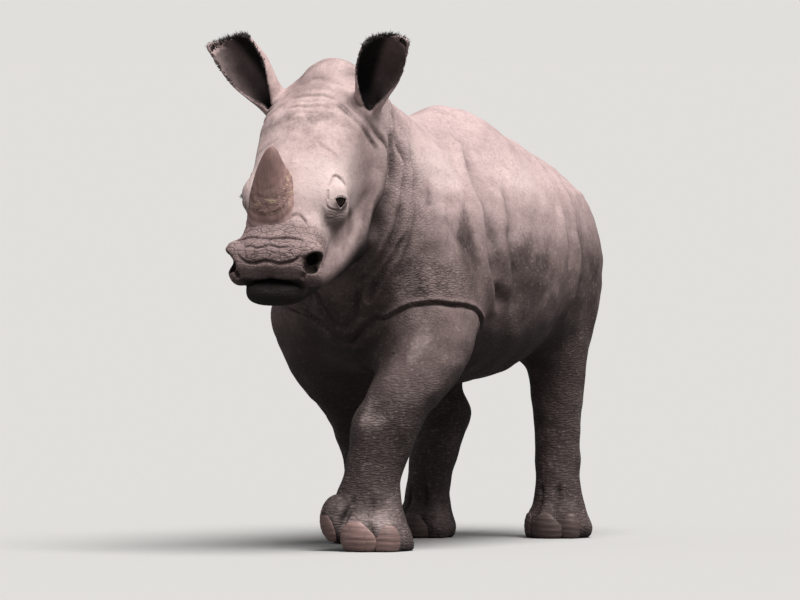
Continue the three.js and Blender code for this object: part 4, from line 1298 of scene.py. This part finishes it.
def horn_body():
    """The horn: ovals that shrink towards a blunt tip and slide up the face, with fibres along it, rings round it
    and a rough worn base."""
    t = np.linspace(0, 1, 90)[:-1, None]
    angle = np.linspace(0, 2 * np.pi, 120, endpoint=False)[None, :]
    shrink = HORN["blunt"] + (1 - HORN["blunt"]) * (1 - t) ** 0.62
    shrink = shrink * np.sqrt(1 - np.clip((t - 0.93) / 0.07, 0, 1) ** 2 * 0.98)
    fibres = 0.010 * np.sin(angle * 23 + 3 * np.sin(angle * 2)) * np.sin(angle * 7 + 1.0)
    layers = 0.012 * np.sin(t * 60 + 1.2 * np.sin(angle * 3)) * (1 - t)
    lumps = 0.018 * np.sin(angle * 5 + t * 9) * np.sin(t * 17 + angle * 2)
    square = 2 + 1.6 * (1 - t) ** 2
    corner = (np.abs(np.cos(angle)) ** square + np.abs(np.sin(angle)) ** square) ** (-1 / square)
    reach = shrink * corner * (0.965 + fibres + layers + lumps)
    wider = 1 - 0.22 * np.sin(angle) * (1 - t)
    out = HORN["side"] * (1 - 0.4 * t + 0.5 * np.sin(np.pi * t)) + 1.05 * HORN["out"] * reach * np.cos(angle) * wider
    along = HORN["along"] - HORN["back"] * t**1.15 - HORN["long"] * reach * np.sin(angle)
    over = HORN["over"] + HORN["high"] * 0.995 * t + 0 * angle
    rings = from_head(np.stack([out, along, over], axis=-1).reshape(-1, 3)).reshape(*out.shape, 3)
    start = from_head((HORN["side"], HORN["along"], HORN["over"]))[0]
    end = from_head((HORN["side"] * 0.6, HORN["along"] - HORN["back"], HORN["over"] + HORN["high"] * 0.999))[0]
    points, faces = ringed(rings, start, end)
    return points, faces, np.concatenate([np.repeat(t.ravel(), angle.size), [0, 1]])


NAIL_SLOPE = math.radians(12)
NAIL_FROM = 0.45


def nail_body(place, heading, radii, seed):
    """A nail: the front slice of its toe's oval, a little proud of it, with growth lines across it, a worn lower
    edge and round upper corners."""
    wide, deep, high = radii + NAIL_PROUD
    low = max(0.0015 - place[2], -0.86 * high)
    top = NAIL_HIGH - TOE_HIGH / 2
    share = np.linspace(0, 1, 26)[:, None]
    z = low + (top - low) * share
    ring = np.sqrt(1 - (z / high) ** 2)
    behind = (NAIL_FROM * TOE_DEEP + z * math.sin(NAIL_SLOPE)) / math.cos(NAIL_SLOPE)
    widest = np.arccos(np.clip(behind / (deep * ring), 0, 0.98)) * np.sqrt(1 - 0.5 * share**4)
    angle = np.linspace(-1, 1, 44)[None, :]
    z = z - 0.010 * angle**4 * share
    angle = angle * widest
    rng = np.random.default_rng(seed)
    lines = 0.0003 * np.sin(z * 520 + rng.uniform(0, 6) + 0.8 * np.sin(angle * 3))
    ridges = 0.0003 * np.sin(angle * 7 + rng.uniform(0, 6))

    def shell(inset):
        x = (wide + inset) * ring * np.sin(angle)
        y = -(deep + inset) * ring * np.cos(angle)
        local = np.stack([x, y, z + 0 * x], axis=-1)
        s, c = math.sin(heading), math.cos(heading)
        turned = local @ np.array([[c, s, 0], [-s, c, 0], [0, 0, 1.0]])
        return place + turned

    edge = np.minimum(1 - np.abs(angle) / widest, np.minimum(share, 1 - share) * 2)
    round_off = -0.0022 * np.exp(-edge / 0.06)
    return plated(shell(lines + ridges + round_off - 0.0004), shell(-0.006 + 0 * angle))


def ear_places(ear, at, turn, depth):
    """Places on an ear's sheet: up it, round from its back in radians, and in from its outer side."""
    up, front, across = ear_frame(ear)
    wide, _, bow, peak = columns(EAR_FINE, at)
    radius = (wide - depth)[:, None]
    height = (at * EAR["height"] + ear["side"] * peak * np.sin(turn))[:, None]
    sideways = radius * np.sin(turn)[:, None]
    forwards = bow[:, None] - radius * np.cos(turn)[:, None]
    return np.array(ear["root"]) + up * height + across * sideways + front * forwards


def tufts(name, roots, ways, lengths, thick, bends, unwrap):
    """One piece of many tapered tufts: each a three-sided spike of four lengths, bent as the square of the way along
    it. Each tuft's face corners lie in a patch of the map named OFBake, round the place given for its root."""
    count = len(roots)
    steps = np.array([0.0, 0.35, 0.7, 1.0])
    ways = ways / np.linalg.norm(ways, axis=1, keepdims=True)
    side = np.cross(ways, [0.31, 0.52, 0.79])
    side /= np.linalg.norm(side, axis=1, keepdims=True)
    other = np.cross(ways, side)
    centre = (
        roots[:, None]
        + ways[:, None] * (lengths[:, None] * steps)[..., None]
        + bends[:, None] * (lengths[:, None] * steps**2)[..., None]
    )
    corner = np.arange(3) * 2 * np.pi / 3
    ring = side[:, None] * np.cos(corner)[None, :, None] + other[:, None] * np.sin(corner)[None, :, None]
    radius = thick[:, None] * (1 - steps[:3]) ** 0.6
    bodies = centre[:, :3, None] + ring[:, None] * radius[:, :, None, None]
    points = np.concatenate([bodies.reshape(count, 9, 3), centre[:, 3:]], axis=1)
    around = [(k, (k + 1) % 3, 3 + (k + 1) % 3, 3 + k) for k in range(3)]
    quads = [tuple(3 * i + point for point in face) for i in range(2) for face in around]
    spikes = [(6 + k, 6 + (k + 1) % 3, 9) for k in range(3)] + [(2, 1, 0)]
    starts = np.arange(count)[:, None] * 10
    faces = [f for face in quads + spikes for f in (starts + np.array(face)).tolist()]
    piece = new_mesh(name, points.reshape(-1, 3), faces)
    patch = np.array([(k / 2, i / 3) for i in range(3) for k in range(3)] + [(0.5, 1.0)]) * 0.003
    places = (unwrap[:, None] + patch).reshape(-1, 2)
    corners = np.empty(len(piece.data.loops), np.int32)
    piece.data.loops.foreach_get("vertex_index", corners)
    layer = piece.data.uv_layers.new(name="OFBake")
    layer.data.foreach_set("uv", places[corners].ravel())
    return piece


def ear_fringe(name, ear, seed):
    """The dark hair along an ear's rim: longest on its blunt top, shorter down its sides, thin inside it."""
    rng = np.random.default_rng(seed)
    count = 1500
    top = rng.random(count) < 0.70
    at = np.where(top, EAR_SKIN_TOP - rng.uniform(0, 0.05, count), EAR_SKIN_TOP - rng.uniform(0, 0.55, count) ** 1.3)
    _, roll, _, _ = columns(EAR_FINE, at)
    edge = np.radians(roll)
    turn = np.where(top, rng.uniform(-1, 1, count), np.sign(rng.uniform(-1, 1, count)) * rng.uniform(0.93, 1, count))
    turn = turn * edge
    depth = rng.uniform(0.0, EAR["thick"], count)
    roots = ear_places(ear, at, turn, depth)
    up, front, across = ear_frame(ear)
    outwards = across * np.sin(turn)[:, None] - front * np.cos(turn)[:, None]
    round_it = (across * np.cos(turn)[:, None] + front * np.sin(turn)[:, None]) * np.sign(turn)[:, None]
    ways = up * np.where(top, 1.0, 0.45)[:, None] + round_it * np.where(top, 0.1, 0.9)[:, None]
    ways = ways + outwards * rng.normal(0, 0.22, (count, 1)) + rng.normal(0, 0.16, (count, 3))
    lengths = np.where(top, rng.uniform(0.007, 0.015, count), rng.uniform(0.003, 0.006, count))
    thick = rng.uniform(0.0006, 0.0011, count)
    unwrap = np.stack([0.25 + 0.2 * ear["side"] + turn / np.pi * 0.15, 0.75 + at * 0.2], axis=1)
    return tufts(name, roots, ways, lengths, thick, rng.normal(0, 0.15, (count, 3)), unwrap)


def tail_tuft():
    """The coarse hair at the tail's end, hanging from its last stretch."""
    rng = np.random.default_rng(31)
    count = 700
    height = rng.uniform(0.432, 0.520, count)
    x, y, wide, fore, aft = columns(TAIL_FINE, height)
    angle = rng.uniform(0, 2 * np.pi, count)
    ring = np.stack([wide * np.cos(angle), np.where(np.sin(angle) > 0, aft, fore) * np.sin(angle)], axis=1) * 0.9
    roots = np.stack([x + ring[:, 0], y + ring[:, 1], height], axis=1)
    outwards = np.stack([np.cos(angle), np.sin(angle), np.zeros(count)], axis=1)
    ways = np.array([0.06, 0.03, -1.0]) + outwards * rng.uniform(0.0, 0.16, (count, 1))
    ways = ways + rng.normal(0, 0.05, (count, 3))
    lengths = np.minimum(rng.uniform(0.030, 0.055, count), (height - 0.388) * 0.98)
    bends = -outwards * 0.10 + rng.normal(0, 0.04, (count, 3))
    unwrap = np.stack([0.1 + angle / 2 / np.pi * 0.2, 0.1 + height * 0.3], axis=1)
    return tufts("tail_tuft", roots, ways, lengths, rng.uniform(0.0006, 0.0011, count), bends, unwrap)


def lashes(name, side, seed):
    """Short stiff lashes along the upper lid's edge, curving down and out."""
    rng = np.random.default_rng(seed)
    count = 44
    back = rng.uniform(-0.0145, 0.0145, count)
    up = 0.0105 * (1 - (back / 0.0165) ** 2) + rng.uniform(-0.0006, 0.0012, count)
    out = np.sqrt(np.maximum((EYE["radius"] + 0.0035) ** 2 - back**2 - up**2, 0))
    frame_of_eye = np.stack([EYE_BACK, EYE_UP, EYE_OUT])
    places = np.array(EYE["place"]) + np.stack([back, up, out], axis=1) @ frame_of_eye
    spread = np.stack([back * 26, rng.uniform(-0.25, 0.10, count), np.ones(count)], axis=1)
    mirror = np.array([side, 1, 1])
    middle = from_head((0, 0, 0))
    ways = from_head((spread + rng.normal(0, 0.12, (count, 3))) @ frame_of_eye * mirror) - middle
    bends = from_head(np.tile(-EYE_UP * 0.45, (count, 1)) * mirror) - middle
    unwrap = np.stack([0.5 + 0.1 * side + back * 2, 0.5 + up * 2], axis=1)
    lengths = rng.uniform(0.004, 0.008, count)
    return tufts(name, from_head(places * mirror), ways, lengths, np.full(count, 0.0004), bends, unwrap)


# ---- What a user would change ----
def colour_property(name, description, default):
    return bpy.props.FloatVectorProperty(
        name=name, description=description, default=default, subtype="COLOR", size=3, min=0.0, max=1.0
    )


class RhinoColours(bpy.types.PropertyGroup):
    """Colours of the finishes."""

    # Top paler and flank darker: partly dusty and muddy hide, partly painted light from above and painted shade lower
    # down.
    top: colour_property("Top", "Hide along the back and the crown", (0.500, 0.375, 0.368))
    flank: colour_property("Flank", "Hide on the sides", (0.165, 0.121, 0.117))
    face: colour_property("Face", "Hide of the face", (0.575, 0.432, 0.418))
    # Leg: partly muddy hide, partly painted shade of the lower body.
    leg: colour_property("Leg", "Hide on the legs and feet", (0.060, 0.044, 0.042))
    muzzle: colour_property("Muzzle", "Hide on the nose and lips", (0.250, 0.174, 0.168))
    # Mud and dust: partly the hide's own mud and dust, partly painted shade and painted light from the ovals.
    mud_and_painted_shade: colour_property("Mud", "Darker muddy patches", (0.082, 0.058, 0.055))
    dust_and_painted_light: colour_property("Dust", "Paler dusty patches", (0.64, 0.505, 0.488))
    shade: colour_property("Shade", "Hide that is closed in or faces down", (0.018, 0.013, 0.012))
    # Hollow is painted shade inside the ears and under the lip.
    hollow: colour_property("Hollow", "Inside the ears and under the lip", (0.005, 0.004, 0.004))
    # Painted shade at the bottom of folds and wrinkles and in the horn's cracks.
    crease_shade: colour_property("Crease", "Bottom of folds and wrinkles", (0.022, 0.015, 0.013))
    horn: colour_property("Horn", "Horn where it is clean", (0.370, 0.232, 0.210))
    horn_dark: colour_property("Horn, dark", "Darker fibres of the horn", (0.180, 0.106, 0.096))
    horn_flake: colour_property("Horn, worn", "Pale flakes where the horn is worn", (0.52, 0.39, 0.27))
    horn_base: colour_property("Horn, base", "Smooth skin round the horn's foot", (0.34, 0.235, 0.225))
    nail: colour_property("Nail", "Nails", (0.36, 0.225, 0.205))
    nail_dark: colour_property("Nail, dark", "Growth lines of the nails", (0.075, 0.050, 0.046))
    iris: colour_property("Iris", "Iris of the eyes", (0.030, 0.012, 0.006))
    hair: colour_property("Hair", "Hair of the ears, tail and lids", (0.012, 0.009, 0.008))


class RhinoStudio(bpy.types.PropertyGroup):
    """Sizes and strengths of the studio."""

    floor: bpy.props.FloatProperty(
        name="Floor", description="Radius of the floor", default=600.0, min=2.0, unit="LENGTH"
    )
    key: bpy.props.FloatProperty(
        name="Key", description="Strength of the soft light overhead", default=5.6, min=0.0
    )
    key_angle: bpy.props.FloatProperty(
        name="Key softness", description="How wide the soft light overhead looks", default=0.8, subtype="ANGLE"
    )
    around: bpy.props.FloatProperty(
        name="Surrounding light", description="Strength of the light from all round", default=0.26, min=0.0
    )


# ---- Operators ----
def paint(piece, material):
    piece.data.materials.clear()
    piece.data.materials.append(material)


class RHINO_OT_skin(bpy.types.Operator):
    """One folded hide over all the flesh"""

    bl_idname = "rhino.skin"
    bl_label = "Skin"

    def execute(self, context):
        paint(skin(), hide_finish())
        return {"FINISHED"}


class RHINO_OT_eyes(bpy.types.Operator):
    """Two wet eyes in their sockets"""

    bl_idname = "rhino.eyes"
    bl_label = "Eyes"

    def execute(self, context):
        material = eye_finish()
        for name, side in (("left", 1), ("right", -1)):
            points, faces, iris = eyeball(side)
            piece = kept(new_mesh(f"eyeball_{name}", points, faces), "eye", f"eye_{name}")
            note(piece.data, "iris", iris)
            paint(piece, material)
        return {"FINISHED"}


class RHINO_OT_horn(bpy.types.Operator):
    """The low, worn horn bud"""

    bl_idname = "rhino.horn"
    bl_label = "Horn"

    def execute(self, context):
        points, faces, along = horn_body()
        piece = new_mesh("horn_bud", points, faces)
        note(piece.data, "along", along)
        paint(kept(piece, "horn", "horn"), horn_finish())
        return {"FINISHED"}


class RHINO_OT_nails(bpy.types.Operator):
    """Three nails on each foot"""

    bl_idname = "rhino.nails"
    bl_label = "Nails"

    def execute(self, context):
        material = nail_finish()
        for foot in FEET:
            for i, toe in enumerate(toes_of(foot)):
                node = f"nail_{foot}_{TOE_NAMES[i]}"
                points, faces = nail_body(*toe, seed=10 * FEET.index(foot) + i)
                piece = new_mesh(f"{node}_plate", points, faces)
                # The fore left foot's nails paler, partly cleaner nail and partly painted light; the other nails
                # darker, partly muddy and partly painted shade.
                clean = (0.9 if i == 1 else 0.6) if foot == "fore_left" else 0.0
                note(piece.data, "clean", np.full(len(points), clean))
                paint(kept(piece, "nail", node), material)
        return {"FINISHED"}


class RHINO_OT_hair(bpy.types.Operator):
    """Hair on the ears' rims, the tail's end and the lids"""

    bl_idname = "rhino.hair"
    bl_label = "Hair"

    def execute(self, context):
        material = hair_finish()
        pieces = [tail_tuft()]
        for i, (name, ear) in enumerate(EARS.items()):
            pieces.append(ear_fringe(f"ear_hair_{name}", ear, 40 + i))
            pieces.append(lashes(f"lashes_{name}", ear["side"], 50 + i))
        for piece in pieces:
            paint(kept(piece, "hide"), material)
        return {"FINISHED"}


class RHINO_OT_stage(bpy.types.Operator):
    """A pale floor, soft light from above and the camera"""

    bl_idname = "rhino.stage"
    bl_label = "Studio"

    def execute(self, context):
        studio = context.scene.rhino_studio
        angle = np.linspace(0, 2 * np.pi, 96, endpoint=False)
        rim = np.stack([np.cos(angle), np.sin(angle), 0 * angle], axis=1) * studio.floor
        floor = new_mesh("floor", rim - SHIFT, [list(range(96))], smooth=False)
        finish = Finish("floor")
        seen = finish.node("ShaderNodeLightPath", {}, {}, "Is Camera Ray")
        finish.set(Base_Color=finish.mix(seen, FLOOR_BOUNCE, FLOOR_COLOUR), Roughness=1.0, Specular_IOR_Level=0.0)
        paint(floor, finish.material)

        world = bpy.data.worlds.new("studio")
        world.use_nodes = True
        nodes, links = world.node_tree.nodes, world.node_tree.links
        light = nodes["Background"]
        light.inputs["Color"].default_value = (0.95, 0.97, 1.0, 1)
        light.inputs["Strength"].default_value = studio.around
        backdrop = nodes.new("ShaderNodeBackground")
        backdrop.inputs["Color"].default_value = (*BACKDROP_COLOUR, 1)
        seen = nodes.new("ShaderNodeLightPath")
        either = nodes.new("ShaderNodeMixShader")
        links.new(seen.outputs["Is Camera Ray"], either.inputs["Fac"])
        links.new(light.outputs[0], either.inputs[1])
        links.new(backdrop.outputs[0], either.inputs[2])
        links.new(either.outputs[0], nodes["World Output"].inputs["Surface"])
        context.scene.world = world
        context.scene.view_settings.view_transform = "Standard"

        target = Vector(AIM + SHIFT)
        toward = Vector((math.sin(VIEW_TURN), -math.cos(VIEW_TURN), 0)) * math.cos(VIEW_RISE)
        toward += Vector((0, 0, math.sin(VIEW_RISE)))
        camera = bpy.data.objects.new("camera", bpy.data.cameras.new("camera"))
        camera.data.lens = VIEW_LENS
        camera.data.clip_end = 2000
        camera.location = target + toward * VIEW_FAR
        camera.rotation_euler = (target - camera.location).to_track_quat("-Z", "Y").to_euler()
        context.scene.collection.objects.link(camera)
        context.scene.camera = camera

        key = bpy.data.objects.new("key", bpy.data.lights.new("key", "SUN"))
        key.data.angle = studio.key_angle
        key.data.energy = studio.key
        key.data.color = (1.0, 0.982, 0.965)
        key.rotation_euler = Vector(KEY_FROM).to_track_quat("Z", "Y").to_euler()
        context.scene.collection.objects.link(key)
        return {"FINISHED"}


class RHINO_PT_panel(bpy.types.Panel):
    """Every step of the model, and its colours"""

    bl_label = "Rhinoceros"
    bl_idname = "RHINO_PT_panel"
    bl_space_type = "VIEW_3D"
    bl_region_type = "UI"
    bl_category = "Rhinoceros"

    def draw(self, context):
        for step in STEPS:
            self.layout.operator(step.bl_idname)
        for group in (context.scene.rhino_colours, context.scene.rhino_studio):
            column = self.layout.column()
            for name in group.__annotations__:
                column.prop(group, name)


STEPS = (RHINO_OT_skin, RHINO_OT_eyes, RHINO_OT_horn, RHINO_OT_nails, RHINO_OT_hair, RHINO_OT_stage)
CLASSES = (RhinoColours, RhinoStudio, *STEPS, RHINO_PT_panel)


def register():
    for kind in CLASSES:
        bpy.utils.register_class(kind)
    bpy.types.Scene.rhino_colours = bpy.props.PointerProperty(type=RhinoColours)
    bpy.types.Scene.rhino_studio = bpy.props.PointerProperty(type=RhinoStudio)


def unregister():
    del bpy.types.Scene.rhino_studio
    del bpy.types.Scene.rhino_colours
    for kind in reversed(CLASSES):
        bpy.utils.unregister_class(kind)


def main():
    register()
    bpy.ops.rhino.skin()
    bpy.ops.rhino.eyes()
    bpy.ops.rhino.horn()
    bpy.ops.rhino.nails()
    bpy.ops.rhino.hair()
    bpy.ops.rhino.stage()


if __name__ == "__main__":
    main()
